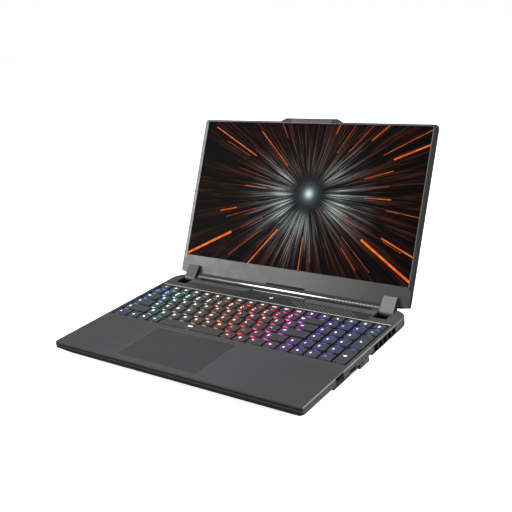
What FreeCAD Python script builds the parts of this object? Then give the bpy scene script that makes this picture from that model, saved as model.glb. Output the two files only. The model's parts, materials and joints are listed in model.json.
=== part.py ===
"""Laptop computer, 15.6 inch class, lid open at its resting angle.

Frame: origin at the middle of the base footprint on the table plane (the
underside of the rubber feet), +X to the user's right, +Y to the rear, +Z up,
millimetres.  Lid pieces are drawn in a frame centred on the hinge axis with
the lid shut, then placed at the opening angle.
"""
import FreeCAD, Part
import math
import os
import Sketcher

Vector = FreeCAD.Vector
doc = FreeCAD.newDocument("laptop")
sheet = doc.addObject("Spreadsheet::Sheet", "Dims")

# ---------------------------------------------------------- driving dimensions
# alias, value.  _x, _y and _z are positions; _half is a half width along X.
TABLE = [
    # base shell
    ("case_width", 358.0), ("front_y", -121.0), ("rear_y", 114.2), ("block_y", 121.0),
    ("case_bottom", 2.0), ("seam_z", 11.0), ("deck_z", 19.0), ("deck_thick", 1.6),
    ("wall", 2.0), ("rear_radius", 19.0), ("front_radius", 3.0), ("edge_chamfer", 0.9),
    ("skirt_in", 10.0), ("block_z", 15.5), ("block_half", 165.0),
    # keyboard
    ("well_half", 174.2), ("well_y0", -29.9), ("well_y1", 72.9),
    ("key_pitch", 18.2), ("key_x0", -172.9), ("key_gap", 1.7), ("key_taper", 0.55),
    ("key_bottom", 15.6), ("key_top", 18.65), ("key_roof", 1.2), ("key_skin", 1.1),
    ("plate_z0", 12.3), ("plate_z1", 13.5),
    # touchpad
    ("pad_x0", -82.1), ("pad_x1", 37.5), ("pad_y0", -112.4), ("pad_y1", -38.8),
    ("pad_top", 18.85), ("pad_thick", 1.65), ("pad_slit", 0.3),
    # rear deck
    ("strip_half", 142.0), ("strip_y0", 74.4), ("strip_y1", 92.4), ("bay_half", 43.0),
    ("bay_slant", 4.0), ("groove_y0", 101.9), ("groove_y1", 108.3), ("groove_z", 15.8),
    ("recess_z", 17.8), ("spine_half", 142.3), ("groove_half", 134.0),
    # power button
    ("power_x", -1.0), ("power_y", 87.4), ("power_width", 21.0), ("power_depth", 8.4),
    # hinge
    ("hinge_y", 108.9), ("hinge_z", 16.2), ("lid_angle", 116.5),
    ("tub_x0", 143.5), ("tub_x1", 162.5), ("tub_y0", 85.3), ("tub_y1", 117.6), ("tub_z", 9.8),
    ("cap_x0", 144.0), ("cap_width", 18.0), ("cap_radius", 5.8), ("pin_radius", 2.0),
    ("sleeve_play", 0.05), ("sleeve_radius", 3.5),
    # lid
    ("lid_width", 355.3), ("lid_length", 219.85), ("lid_offset", 8.97), ("face_z", 3.57),
    ("lid_thick", 6.0), ("bezel_thick", 1.43), ("lid_skin", 1.2), ("lid_wall", 1.5),
    ("chin", 24.0), ("view_width", 344.2), ("view_length", 193.6), ("bump_height", 4.4),
    ("bump_foot_half", 48.0), ("bump_crest_half", 39.5),
    # ports
    ("network_y", -50.5), ("usb_a_y", -23.5), ("usb_c_y", 5.5), ("jack_y", -50.0),
    ("jack_z", 13.6), ("jack_radius", 1.8), ("video_y", -3.0), ("inlet_y", 13.6),
    ("inlet_z", 10.4), ("inlet_radius", 2.8),
    ("vent_y0", 24.0), ("vent_pitch", 10.7), ("vent_width", 9.4), ("vent_z1", 17.0),
    # cooling
    ("fan_x", 112.0), ("fan_y", 40.0), ("fan_half", 36.0), ("fan_z0", 4.4), ("fan_z1", 11.8),
    ("rotor_radius", 31.0), ("hub_radius", 12.0), ("shaft_radius", 1.5), ("shaft_play", 0.05),
]


class Qty:
    """A number together with the spreadsheet formula it came from."""

    def __init__(self, value, formula):
        self.value, self.formula = float(value), formula

    @staticmethod
    def of(other):
        return other if isinstance(other, Qty) else Qty(other, repr(float(other)))

    def _join(self, sign, other, value):
        return Qty(value, "(%s %s %s)" % (self.formula, sign, other.formula))

    def __add__(self, other):
        other = Qty.of(other)
        return self._join("+", other, self.value + other.value)
    __radd__ = __add__

    def __sub__(self, other):
        other = Qty.of(other)
        return self._join("-", other, self.value - other.value)

    def __rsub__(self, other):
        return Qty.of(other) - self

    def __mul__(self, other):
        other = Qty.of(other)
        return self._join("*", other, self.value * other.value)
    __rmul__ = __mul__

    def __truediv__(self, other):
        other = Qty.of(other)
        return self._join("/", other, self.value / other.value)

    def __neg__(self):
        return Qty(-self.value, "(0 - %s)" % self.formula)


class Cells:
    """Holds one Qty for each alias of the spreadsheet."""


dim = Cells()
for row, (alias, number) in enumerate(TABLE, start=1):
    sheet.set("A%d" % row, alias)
    sheet.set("B%d" % row, str(number))
    sheet.setAlias("B%d" % row, alias)
    setattr(dim, alias, Qty(number, "Dims." + alias))
doc.recompute()

name_count = 0


def fresh(stem):
    """An object name not used before."""
    global name_count
    name_count += 1
    return "%s_%03d" % (stem, name_count)


def bind(obj, prop, quantity):
    """Drives a property by the formula of a quantity."""
    obj.setExpression(prop, Qty.of(quantity).formula)


# -------------------------------------------------------------- outline helpers
SIDES = (("left", -1), ("right", 1))


def about(centre, half):
    """The two ends of a range given by its middle and half width."""
    return centre - half, centre + half


def span(side, x0, x1):
    """The range x0..x1 on the right (side 1), or its mirror on the left (-1)."""
    return (x0, x1) if side > 0 else (-x1, -x0)


def rect(x0, x1, y0, y1):
    return [(x0, y0), (x1, y0), (x1, y1), (x0, y1)]


def both_sides(x0, x1, y0, y1):
    """A rectangle on the right and its mirror on the left."""
    return [rect(*span(side, x0, x1), y0, y1) for side in (1, -1)]


def mirror(points):
    return [(-x, y) for x, y in reversed(points)]


def symmetric(right_half):
    """Closed outline from its right half."""
    return right_half + mirror(right_half)


# --------------------------------------------------------------- sketch helpers
class Draft:
    """Collects one sketch's lines and constraints, then adds them together."""

    def __init__(self, sketch):
        self.sketch = sketch
        self.geometry, self.constraints, self.formulas = [], [], {}

    def add(self, shape):
        self.geometry.append(shape)
        return len(self.geometry) - 1

    def line(self, start, end):
        return self.add(Part.LineSegment(Vector(*start, 0), Vector(*end, 0)))

    def arc(self, x, y, radius, start, end):
        circle = Part.Circle(Vector(x, y, 0), Vector(0, 0, 1), radius)
        return self.add(Part.ArcOfCircle(circle, math.radians(start), math.radians(end)))

    def rule(self, *args):
        self.constraints.append(Sketcher.Constraint(*args))
        return len(self.constraints) - 1

    def place(self, kind, geo, pos, quantity):
        """Dimensions a point from the origin; a zero puts it on the axis."""
        quantity = Qty.of(quantity)
        if abs(quantity.value) < 1e-9:
            self.rule("PointOnObject", geo, pos, -2 if kind == "DistanceX" else -1)
        else:
            index = self.rule(kind, -1, 1, geo, pos, quantity.value)
            self.formulas[index] = quantity.formula

    def radius(self, geo, quantity):
        quantity = Qty.of(quantity)
        self.formulas[self.rule("Radius", geo, quantity.value)] = quantity.formula

    def poly(self, points):
        """Closed polygon, every corner dimensioned from the origin."""
        points = [(Qty.of(x), Qty.of(y)) for x, y in points]
        count, base = len(points), len(self.geometry)
        for i in range(count):
            start, end = points[i], points[(i + 1) % count]
            self.line((start[0].value, start[1].value), (end[0].value, end[1].value))
        for i in range(count):
            self.rule("Coincident", base + i, 2, base + (i + 1) % count, 1)
            self.place("DistanceX", base + i, 1, points[i][0])
            self.place("DistanceY", base + i, 1, points[i][1])

    def circle(self, x, y, radius):
        x, y, radius = Qty.of(x), Qty.of(y), Qty.of(radius)
        geo = self.add(Part.Circle(Vector(x.value, y.value, 0), Vector(0, 0, 1), radius.value))
        self.place("DistanceX", geo, 3, x)
        self.place("DistanceY", geo, 3, y)
        self.radius(geo, radius)

    def round_rect(self, x0, x1, y0, y1, low_radius, high_radius):
        """Rectangle with low_radius on the two corners at y0, high_radius at y1."""
        sizes = [Qty.of(size) for size in (x0, x1, y0, y1, low_radius, high_radius)]
        left, right, low, high, small, large = [size.value for size in sizes]
        geo = [self.line((left + small, low), (right - small, low)),
               self.arc(right - small, low + small, small, 270, 360),
               self.line((right, low + small), (right, high - large)),
               self.arc(right - large, high - large, large, 0, 90),
               self.line((right - large, high), (left + large, high)),
               self.arc(left + large, high - large, large, 90, 180),
               self.line((left, high - large), (left, low + small)),
               self.arc(left + small, low + small, small, 180, 270)]
        for i in range(8):
            self.rule("Tangent", geo[i], 2, geo[(i + 1) % 8], 1)
        for i, direction in ((0, "Horizontal"), (2, "Vertical"), (4, "Horizontal"),
                             (6, "Vertical")):
            self.rule(direction, geo[i])
        self.place("DistanceY", geo[0], 1, y0)
        self.place("DistanceX", geo[2], 1, x1)
        self.place("DistanceY", geo[4], 1, y1)
        self.place("DistanceX", geo[6], 1, x0)
        for i, size in ((1, low_radius), (3, high_radius), (5, high_radius), (7, low_radius)):
            self.radius(geo[i], size)

    def finish(self):
        self.sketch.addGeometry(self.geometry, False)
        self.sketch.addConstraint(self.constraints)
        for i, formula in self.formulas.items():
            if "Dims" in formula:
                self.sketch.setExpression("Constraints[%d]" % i, formula)


FLAT = "XY_Plane"      # outlines in x, y; levels along Z
ACROSS = "YZ_Plane"    # outlines in y, z; levels along X


class Piece:
    """A PartDesign body built from sketches on parallel planes."""

    def __init__(self, label, role=FLAT):
        self.body = doc.addObject("PartDesign::Body", label)
        self.role = role
        self.body.AllowCompound = True

    def _origin(self, role):
        return next(f for f in self.body.Origin.OriginFeatures if f.Role == role)

    def _draw(self, level, polys=(), circles=(), rounds=(), role=None):
        sketch = self.body.newObject("Sketcher::SketchObject", fresh("sketch"))
        sketch.AttachmentSupport = [(self._origin(role or self.role), "")]
        sketch.MapMode = "FlatFace"
        bind(sketch, "AttachmentOffset.Base.z", level)
        draft = Draft(sketch)
        for points in polys:
            draft.poly(points)
        for circle in circles:
            draft.circle(*circle)
        for sizes in rounds:
            draft.round_rect(*sizes)
        draft.finish()
        return sketch

    def _feature(self, kind, stem):
        self.last = self.body.newObject("PartDesign::" + kind, fresh(stem))
        return self.last

    def pad(self, lo, hi, **outlines):
        """Adds the outlines between the two levels."""
        sketch = self._draw(lo, **outlines)
        feature = self._feature("Pad", "pad")
        feature.Profile = sketch
        bind(feature, "Length", Qty.of(hi) - lo)
        return feature

    def cut(self, lo, hi, **outlines):
        """Removes the outlines between the two levels, working down from hi."""
        sketch = self._draw(hi, **outlines)
        feature = self._feature("Pocket", "pocket")
        feature.Profile = sketch
        bind(feature, "Length", Qty.of(hi) - lo)

    def loft(self, sections, kind="AdditiveLoft"):
        """Ruled loft through rounded rectangles given as (level, sizes)."""
        sketches = [self._draw(level, rounds=[sizes]) for level, sizes in sections]
        feature = self._feature(kind, "loft")
        feature.Profile = sketches[0]
        feature.Sections = sketches[1:]
        feature.Ruled = True

    def polar(self, original, count):
        """Repeats a feature round the Z axis."""
        doc.recompute()
        feature = self._feature("PolarPattern", "polar")
        feature.Originals = [original]
        feature.Axis = (self._origin("Z_Axis"), [""])
        feature.Angle = 360
        feature.Occurrences = count
        self.body.Tip = feature

    def chamfer_level(self, size, level):
        """Chamfers every edge of the last feature that lies at one z level."""
        doc.recompute()
        base = self.last
        names = ["Edge%d" % i for i, edge in enumerate(base.Shape.Edges, start=1)
                 if abs(edge.BoundBox.ZMin - level.value) < 1e-4
                 and abs(edge.BoundBox.ZMax - level.value) < 1e-4]
        feature = self._feature("Chamfer", "chamfer")
        feature.Base = (base, names)
        bind(feature, "Size", size)


# ------------------------------------------------------------ primitive helpers
def box(x0, x1, y0, y1, z0, z1):
    solid = doc.addObject("Part::Box", fresh("box"))
    for prop, size in (("Length", Qty.of(x1) - x0), ("Width", Qty.of(y1) - y0),
                       ("Height", Qty.of(z1) - z0), ("Placement.Base.x", x0),
                       ("Placement.Base.y", y0), ("Placement.Base.z", z0)):
        bind(solid, prop, size)
    return solid


def rod(axis, x, y, z, radius, length):
    """Cylinder whose start face is centred on the point, along X, Y or Z."""
    solid = doc.addObject("Part::Cylinder", fresh("rod"))
    bind(solid, "Radius", radius)
    bind(solid, "Height", length)
    if axis == "Y":
        solid.Placement.Rotation = FreeCAD.Rotation(Vector(1, 0, 0), -90)
    if axis == "X":
        solid.Placement.Rotation = FreeCAD.Rotation(Vector(0, 1, 0), 90)
    for prop, place in (("x", x), ("y", y), ("z", z)):
        bind(solid, "Placement.Base." + prop, place)
    return solid


def fuse(parts, label=None):
    result = doc.addObject("Part::MultiFuse", label or fresh("fuse"))
    result.Shapes = parts
    return result


def cut(base, tools, label=None):
    result = doc.addObject("Part::Cut", label or fresh("cut"))
    result.Base = base
    result.Tool = tools[0] if len(tools) == 1 else fuse(tools)
    return result


def group(parts, label):
    result = doc.addObject("Part::Compound", label)
    result.Links = parts
    return result


def slabs(label, *layers):
    """Piece made of flat layers, each (bottom, top, outlines)."""
    piece = Piece(label)
    for lo, hi, polys in layers:
        piece.pad(lo, hi, polys=polys)
    return piece


NODES = []


def node(item):
    """Registers a finished piece for export."""
    obj = item.body if isinstance(item, Piece) else item
    NODES.append(obj)
    return obj


def on_lid(obj):
    """Places a lid piece, drawn shut about the hinge axis, at rest."""
    obj.Placement = FreeCAD.Placement(
        Vector(0, dim.hinge_y.value, dim.hinge_z.value),
        FreeCAD.Rotation(Vector(-1, 0, 0), dim.lid_angle.value))
    bind(obj, "Placement.Base.y", dim.hinge_y)
    bind(obj, "Placement.Base.z", dim.hinge_z)
    obj.setExpression("Placement.Rotation.Angle", "Dims.lid_angle * 1 deg")


# ================================================================== base shell
side_x = dim.case_width / 2                  # outer face of the right wall
deck_under = dim.deck_z - dim.deck_thick     # underside of the deck

# half widths along Y of the openings in the side walls
NETWORK_HALF = 8.0
USB_A_HALF = 7.3
USB_C_HALF = 4.7
VIDEO_HALF = 7.7
JACK_HOLE = 3.1        # radii of the two round openings
INLET_HOLE = 4.1

TUB_WALL = 1.2
TUB_ROOM = 1.4         # room round the tubs in the bottom cover
BUTTON_GAP = 0.2
PIN_GAP = 0.4
BLOCK_REAR_Y = 119.0   # rear face of the spine and tubs


def rear_block(inner_y):
    """Block behind the rear wall, its two rear corners cut off."""
    corner = 6
    half = dim.block_half
    return symmetric([(half, inner_y), (half, dim.block_y - corner),
                      (half - corner, dim.block_y)])


def button_window():
    return rect(*about(dim.power_x, dim.power_width / 2 + BUTTON_GAP),
                *about(dim.power_y, dim.power_depth / 2 + BUTTON_GAP))


def vent_slots(x0, x1):
    slots = []
    for i in range(5):
        y = dim.vent_y0 + dim.vent_pitch * i
        slots += both_sides(x0, x1, y, y + dim.vent_width)
    return slots


def cut_round_openings(piece):
    """Audio jack and power inlet holes through the left wall."""
    piece.cut(-side_x - 1, -side_x + 4, role=ACROSS,
              circles=[(dim.jack_y, dim.jack_z, JACK_HOLE),
                       (dim.inlet_y, dim.inlet_z, INLET_HOLE)])


def add_spine(top, x0, x1, grooved):
    """Rear ridge carrying the light bar; grooved puts a groove in front of it."""
    groove_y0, groove_y1, groove_z = dim.groove_y0, dim.groove_y1, dim.groove_z
    front = [(95, 14.2), (95, groove_z), (groove_y0, groove_z)]
    if grooved:
        front += [(groove_y1, groove_z)]
    else:
        front += [(groove_y0, dim.deck_z), (groove_y1, dim.deck_z)]
    ridge = [(groove_y1, 19.1), (109.9, 19.1), (111.0, 20.4), (111.0, 21.6),
             (113.2, 24.2), (114.8, 23.5), (116.7, 19.8), (117.0, dim.block_z),
             (BLOCK_REAR_Y, dim.block_z), (BLOCK_REAR_Y, 14.2)]
    top.pad(x0, x1, polys=[front + ridge], role=ACROSS)


def add_hinge_tubs(top):
    x0, x1 = dim.tub_x0 - TUB_WALL, dim.tub_x1 + TUB_WALL
    bottom, step_y = dim.tub_z - TUB_WALL, dim.rear_y - 1
    top.pad(bottom, deck_under, polys=both_sides(x0, x1, dim.tub_y0 - TUB_WALL, step_y))
    top.pad(bottom, dim.block_z - 0.5, polys=both_sides(x0, x1, step_y, BLOCK_REAR_Y))
    top.cut(dim.tub_z, dim.deck_z + 4,
            polys=both_sides(dim.tub_x0, dim.tub_x1, dim.tub_y0, dim.tub_y1))
    # seats for the hinge pins beside each tub
    top.cut(14.0, 18.3, polys=both_sides(135, dim.spine_half - 0.2, 105.0, 112.8))
    for side in (1, -1):
        top.cut(*span(side, 136, dim.tub_x0 + 0.5), role=ACROSS,
                circles=[(dim.hinge_y, dim.hinge_z, dim.pin_radius + PIN_GAP)])


def cut_top_openings(top):
    """Openings in the side walls above the seam."""
    seam_z, inner, outer = dim.seam_z, side_x - 4, side_x + 1
    top.cut(seam_z, 18.5, polys=[rect(160, outer, *about(dim.network_y, NETWORK_HALF))])
    top.cut(seam_z, 14.2, polys=both_sides(inner, outer, *about(dim.usb_a_y, USB_A_HALF)))
    top.cut(seam_z, 12.4, polys=[
        rect(inner, outer, *about(dim.usb_c_y, USB_C_HALF)),
        rect(-outer, -inner, *about(dim.video_y, VIDEO_HALF))])
    top.cut(seam_z, dim.vent_z1, polys=vent_slots(inner, outer))
    cut_round_openings(top)


def top_case():
    """Palm rest, keyboard deck, side walls, rear spine and hinge tubs."""
    seam_z, deck_z, wall, spine = dim.seam_z, dim.deck_z, dim.wall, dim.spine_half
    top = Piece("top_case")
    top.pad(seam_z, deck_z, rounds=[(-side_x, side_x, dim.front_y, dim.rear_y,
                                     dim.front_radius, dim.rear_radius)])
    top.chamfer_level(dim.edge_chamfer, deck_z)
    top.pad(seam_z, dim.block_z, polys=[rear_block(dim.rear_y - 12)])
    top.cut(seam_z, deck_under,
            rounds=[(-side_x + wall, side_x - wall, dim.front_y + wall, dim.rear_y - wall,
                     dim.front_radius - wall, dim.rear_radius - wall)])
    top.cut(seam_z, 14.2, polys=[rect(-160, 160, 104, dim.block_y - wall)])
    top.cut(dim.block_z, deck_z + 3, polys=[rect(-spine, spine, dim.groove_y0, dim.block_y + 1)])
    # seat under the dark strip
    top.pad(dim.groove_z, deck_under,
            polys=[rect(-spine, spine, dim.well_y1 + 0.8, dim.groove_y0)])
    top.cut(dim.recess_z, deck_z + 1,
            polys=[rect(-dim.strip_half, dim.strip_half, dim.strip_y0, dim.groove_y0)])
    # keyboard well, touchpad window, power button shaft
    slit = dim.pad_slit
    top.cut(seam_z, deck_z + 1, polys=[
        rect(-dim.well_half, dim.well_half, dim.well_y0, dim.well_y1),
        rect(dim.pad_x0 - slit, dim.pad_x1 + slit, dim.pad_y0 - slit, dim.pad_y1 + slit),
        button_window()])
    add_spine(top, -dim.groove_half, dim.groove_half, True)
    add_spine(top, dim.groove_half, spine, False)
    add_spine(top, -spine, -dim.groove_half, False)
    add_hinge_tubs(top)
    cut_top_openings(top)
    node(top)


def add_aprons(bottom):
    """Vertical aprons that drop from the seam round the ports and side vents."""
    seam_z = dim.seam_z
    bottom.pad(8.1, seam_z, polys=[
        rect(168, side_x, dim.network_y - 13, dim.usb_a_y + 10.5),
        rect(-side_x, -168, dim.network_y - 13, dim.usb_a_y + 6)])
    bottom.pad(5.0, seam_z, polys=[
        rect(168, side_x, dim.usb_c_y - 14.5, dim.usb_c_y + 6.5),
        rect(-side_x, -168, dim.video_y - 11, dim.inlet_y + 6)])
    # round to the rear corners, at 15, 30, 45 and 60 degrees of the corner arc
    radius = dim.rear_radius
    centre_x, centre_y = side_x - radius, dim.rear_y - radius
    corner = [(centre_x + radius * along_x, centre_y + radius * along_y) for along_x, along_y
              in ((0.966, 0.259), (0.866, 0.5), (0.707, 0.707), (0.5, 0.866))]
    apron = ([(160, 19), (side_x, 19), (side_x, centre_y)] + corner
             + [(160, dim.rear_y - 8)])
    bottom.pad(8.2, seam_z, polys=[apron, mirror(apron)])


def cut_bottom_openings(bottom):
    """Port openings and side vents below the seam."""
    top_z, outer = dim.seam_z + 0.5, side_x + 1
    usb_a_range = about(dim.usb_a_y, USB_A_HALF)
    bottom.cut(8.9, top_z, polys=[rect(160, outer, *about(dim.network_y, NETWORK_HALF))]
               + both_sides(160, outer, *usb_a_range))
    bottom.cut(8.6, top_z, polys=[rect(160, outer, *about(dim.usb_c_y, USB_C_HALF))])
    bottom.cut(6.2, top_z, polys=[rect(-outer, -160, *about(dim.video_y, VIDEO_HALF))])
    bottom.cut(5.9, top_z, polys=[rect(-side_x + 1.5, -160, *about(dim.inlet_y, 4.7))])
    bottom.cut(8.9, top_z, polys=vent_slots(side_x - 8, side_x + 2))
    cut_round_openings(bottom)


def cut_shadow_line(bottom):
    """Step under the top case, along the front and both sides."""
    depth, end_y, front_y, radius = 1.4, 92.0, dim.front_y, dim.front_radius
    arc = [((radius - depth) * 0.866, (radius - depth) * 0.5),
           ((radius - depth) * 0.5, (radius - depth) * 0.866)]
    right = [(side_x + 1, front_y - 1), (side_x + 1, end_y), (side_x - depth, end_y),
             (side_x - depth, front_y + radius)]
    right += [(side_x - radius + x, front_y + radius - y) for x, y in arc]
    right += [(side_x - radius, front_y + depth)]
    bottom.cut(dim.seam_z - 1.2, dim.seam_z + 0.2, polys=[symmetric(right)])


# x, y of the screws in the bottom cover
SCREWS = [(-150, -107.6), (0, -107.6), (150, -107.6), (-160, -30), (160, -34), (-70, -30),
          (70, -30), (-62, 95), (62, 95), (-156, 82), (156, 82), (0, 95)]


def cut_underside(bottom):
    """Fan intake slots, rear exhaust slots and screw holes."""
    intake = []
    for i in range(9):
        slot_y = dim.fan_y - 30 + 7 * i
        intake += both_sides(*about(dim.fan_x, 29), slot_y, slot_y + 3.6)
    bottom.cut(dim.case_bottom - 0.5, dim.case_bottom + 2, polys=intake)
    exhaust = []
    for i in range(11):
        exhaust += both_sides(*about(70 + 6.2 * i, 2.2), dim.block_y - 4, dim.block_y + 1)
    bottom.cut(4.6, 10.2, polys=exhaust)
    for depth, radius in ((1.0, 2.9), (3, 1.35)):
        bottom.cut(dim.case_bottom - 0.5, dim.case_bottom + depth,
                   circles=[(x, y, radius) for x, y in SCREWS])


def bottom_cover():
    """Tray with an inward sloping skirt, port aprons and vent slots."""
    low_z, seam_z, skirt, wall = dim.case_bottom, dim.seam_z, dim.skirt_in, dim.wall
    bottom = Piece("bottom_cover")
    bottom.loft([
        (low_z, (-side_x + skirt, side_x - skirt, dim.front_y + skirt, dim.rear_y - 5,
                 2.5, 13.0)),
        (seam_z, (-side_x, side_x, dim.front_y, dim.rear_y,
                  dim.front_radius, dim.rear_radius))])
    bottom.pad(low_z + 0.6, seam_z, polys=[rear_block(100)])
    add_aprons(bottom)
    bottom.loft([
        (low_z + 1.6, (-side_x + 10.4, side_x - 10.4, dim.front_y + 10.4, dim.rear_y - 6.4,
                       3.0, 11.0)),
        (seam_z, (-side_x + wall, side_x - wall, dim.front_y + wall, dim.rear_y - wall,
                  3.0, dim.rear_radius - wall))], kind="SubtractiveLoft")
    bottom.cut(4.2, seam_z + 0.5, polys=[rect(-160, 160, 99, dim.block_y - wall)])
    # room for the hinge tubs that hang from the top case
    bottom.cut(dim.tub_z - TUB_ROOM, seam_z + 0.5, polys=both_sides(
        dim.tub_x0 - TUB_ROOM, dim.tub_x1 + TUB_ROOM, dim.tub_y0 - TUB_ROOM, 119.2))
    cut_bottom_openings(bottom)
    cut_shadow_line(bottom)
    cut_underside(bottom)
    node(bottom)


def bottom_screws():
    """Each screw is a flat head below a thinner shank."""
    node(group([fuse([rod("Z", x, y, dim.case_bottom + 0.1, 2.6, 0.9),
                      rod("Z", x, y, dim.case_bottom + 0.9, 1.3, 3.1)])
                for x, y in SCREWS], "bottom_cover_screws"))


def rubber_feet():
    node(slabs("rubber_feet", (0.0, dim.case_bottom, [
        rect(-128, 128, 99, 106), *both_sides(92, 150, -104, -98), rect(-24, 24, -4, 4)])))


# =================================================================== rear deck
STRIP_GAP = 0.1
strip_edge = dim.strip_half - STRIP_GAP      # right end of the strips
strip_rear = dim.groove_y0 - STRIP_GAP


def control_panel_strip():
    """Dark strip behind the keys with the bay that holds the power button."""
    surface = dim.deck_z + 0.05
    panel = Piece("control_panel_strip")
    panel.pad(dim.recess_z, surface, polys=[symmetric([
        (strip_edge, dim.strip_y0 + STRIP_GAP), (strip_edge, dim.strip_y1),
        (dim.bay_half + dim.bay_slant, dim.strip_y1), (dim.bay_half, strip_rear)])])
    panel.cut(dim.recess_z - 0.5, surface + 1, polys=[button_window()])
    # slanted grooves on the right part of the strip
    starts = [27 + 6.3 * i for i in range(14)]
    panel.cut(surface - 0.35, surface + 1, polys=[
        [(x, 91.0), (x + 2, 91.0), (x + 22, 76.0), (x + 20, 76.0)] for x in starts])
    node(panel)


def ribbed_strips():
    """Strips on either side of the bay."""
    gap, front = 0.3, dim.strip_y1 + 0.2
    right = [(dim.bay_half + dim.bay_slant + gap, front), (strip_edge, front),
             (strip_edge, strip_rear), (dim.bay_half + gap, strip_rear)]
    ribs = Piece("ribbed_strips")
    ribs.pad(dim.recess_z, dim.deck_z - 0.05, polys=[mirror(right), right])
    grooves = []
    for i in range(18):
        grooves += both_sides(*about(52 + 5.0 * i, 0.4), dim.strip_y1 + 1.2, dim.groove_y0 - 1.1)
    ribs.cut(dim.deck_z - 0.5, dim.deck_z + 0.5, polys=grooves)
    node(ribs)


def rear_light_bar():
    """Light bar let into the front of the spine."""
    bar = Piece("rear_light_bar", ACROSS)
    bar.pad(-141.5, 141.5, polys=[[(108.3, 19.1), (109.9, 19.1), (111.0, 20.4),
                                   (111.0, 21.6), (110.5, 21.6), (108.3, 19.7)]])
    node(bar)


def power_button():
    node(slabs("power_button", (16.4, dim.deck_z + 0.15, [
        rect(*about(dim.power_x, dim.power_width / 2),
             *about(dim.power_y, dim.power_depth / 2))])))


# ==================================================================== keyboard
def keyboard_plate():
    edge, nose, step_y = dim.well_half + 1.0, 163.0, -13
    rear = dim.well_y1 + 1
    notch_y0, notch_y1 = about(dim.inlet_y, 5.0)     # clears the power inlet
    flange = edge - 0.9
    node(slabs(
        "keyboard_plate",
        (dim.plate_z0, dim.plate_z1, [[
            (-edge, rear), (-edge, notch_y1), (-168.6, notch_y1), (-168.6, notch_y0),
            (-edge, notch_y0), (-edge, step_y), (-nose, step_y), (-nose, -30.7),
            (nose, -30.7), (nose, step_y), (edge, step_y), (edge, rear)]]),
        # upturned flanges that close the sides of the keyboard well
        (dim.plate_z0, 17.2, [
            rect(flange, edge, step_y, rear), rect(-edge, -flange, step_y, notch_y0),
            rect(-edge, -flange, notch_y1, rear)])))


# row: centre y, depth
ROWS = {"bottom": (-20.0, 16.2), "shift": (-2.0, 16.2), "home": (16.0, 16.2),
        "upper": (34.1, 16.2), "number": (51.3, 14.8), "function": (66.4, 11.6)}


def run(first, count, row):
    """Keys of one unit, side by side, starting at a key unit."""
    return [(first + i, first + i + 1, row) for i in range(count)]


# label: keys, each (start and end in key units from the left, row, last row if taller)
KEYS = {
    "function_row_keys": run(0, 19, "function"),
    "number_row_keys": run(0, 13, "number"),
    "backspace_key": [(13, 15, "number")],
    "upper_letter_keys": [(0, 1.5, "upper"), *run(1.5, 12, "upper"), (13.5, 15, "upper")],
    "home_letter_keys": [(0, 1.75, "home"), *run(1.75, 11, "home")],
    "enter_key": [(12.75, 15, "home")],
    "left_shift_key": [(0, 2.25, "shift")],
    "lower_letter_keys": run(2.25, 10, "shift"),
    "right_shift_key": [(12.25, 14, "shift")],
    "bottom_row_keys": [(0, 1.25, "bottom"), *run(1.25, 3, "bottom"), (9.6, 10.65, "bottom"),
                        (10.65, 11.7, "bottom"), (11.7, 13, "bottom")],
    "space_bar": [(4.25, 9.6, "bottom")],
    "arrow_keys": [(14, 15, "shift"), *run(13, 3, "bottom")],
    "number_pad_keys": [*run(15, 4, "number"), *run(15, 3, "upper"), *run(15, 3, "home"),
                        *run(15, 3, "shift"), *run(16, 2, "bottom")],
    "number_pad_plus_key": [(18, 19, "home", "upper")],
    "number_pad_enter_key": [(18, 19, "bottom", "shift")],
}


def keycap(start, end, row, last_row=None):
    """Keycap spanning start..end key units; tapered shell, open underneath."""
    centre, depth = ROWS[row]
    front = centre - depth / 2
    centre, depth = ROWS[last_row or row]
    rear = centre + depth / 2
    left = dim.key_x0 + dim.key_pitch * start + dim.key_gap / 2
    right = dim.key_x0 + dim.key_pitch * end - dim.key_gap / 2
    taper, skin = dim.key_taper, dim.key_skin
    # the wedge tapers along its own Y, which is turned to point up
    sizes = [("Xmin", left), ("Xmax", right), ("Ymin", 0.0),
             ("Ymax", dim.key_top - dim.key_bottom), ("Zmin", -rear), ("Zmax", -front),
             ("X2min", left + taper), ("X2max", right - taper),
             ("Z2min", -rear + taper), ("Z2max", -front - taper)]
    wedge = doc.addObject("Part::Wedge", fresh("cap"))
    # plain numbers first, so that the wedge is whole before the formulas run
    for prop, size in sizes:
        setattr(wedge, prop, Qty.of(size).value)
    for prop, size in sizes:
        if isinstance(size, Qty):
            bind(wedge, prop, size)
    wedge.Placement.Rotation = FreeCAD.Rotation(Vector(1, 0, 0), 90)
    bind(wedge, "Placement.Base.z", dim.key_bottom)
    hollow = box(left + skin, right - skin, front + skin, rear - skin,
                 dim.key_bottom - 1, dim.key_top - dim.key_roof)
    return cut(wedge, [hollow])


def keys():
    for label, items in KEYS.items():
        caps = [keycap(*item) for item in items]
        if len(caps) == 1:
            caps[0].Label = label
            node(caps[0])
        else:
            node(group(caps, label))


# ==================================================================== touchpad
def touchpad():
    pad = Piece("touchpad")
    under = dim.pad_top - dim.pad_thick
    pad.pad(under, dim.pad_top,
            rounds=[(dim.pad_x0, dim.pad_x1, dim.pad_y0, dim.pad_y1, 0.9, 0.9)])
    # two round pivot lugs under the rear edge
    for x0, x1 in ((dim.pad_x0 + 12, dim.pad_x0 + 20), (dim.pad_x1 - 20, dim.pad_x1 - 12)):
        pad.pad(x0, x1, circles=[(dim.pad_y1 - 0.8, under, 0.6)], role=ACROSS)
    node(pad)


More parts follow.
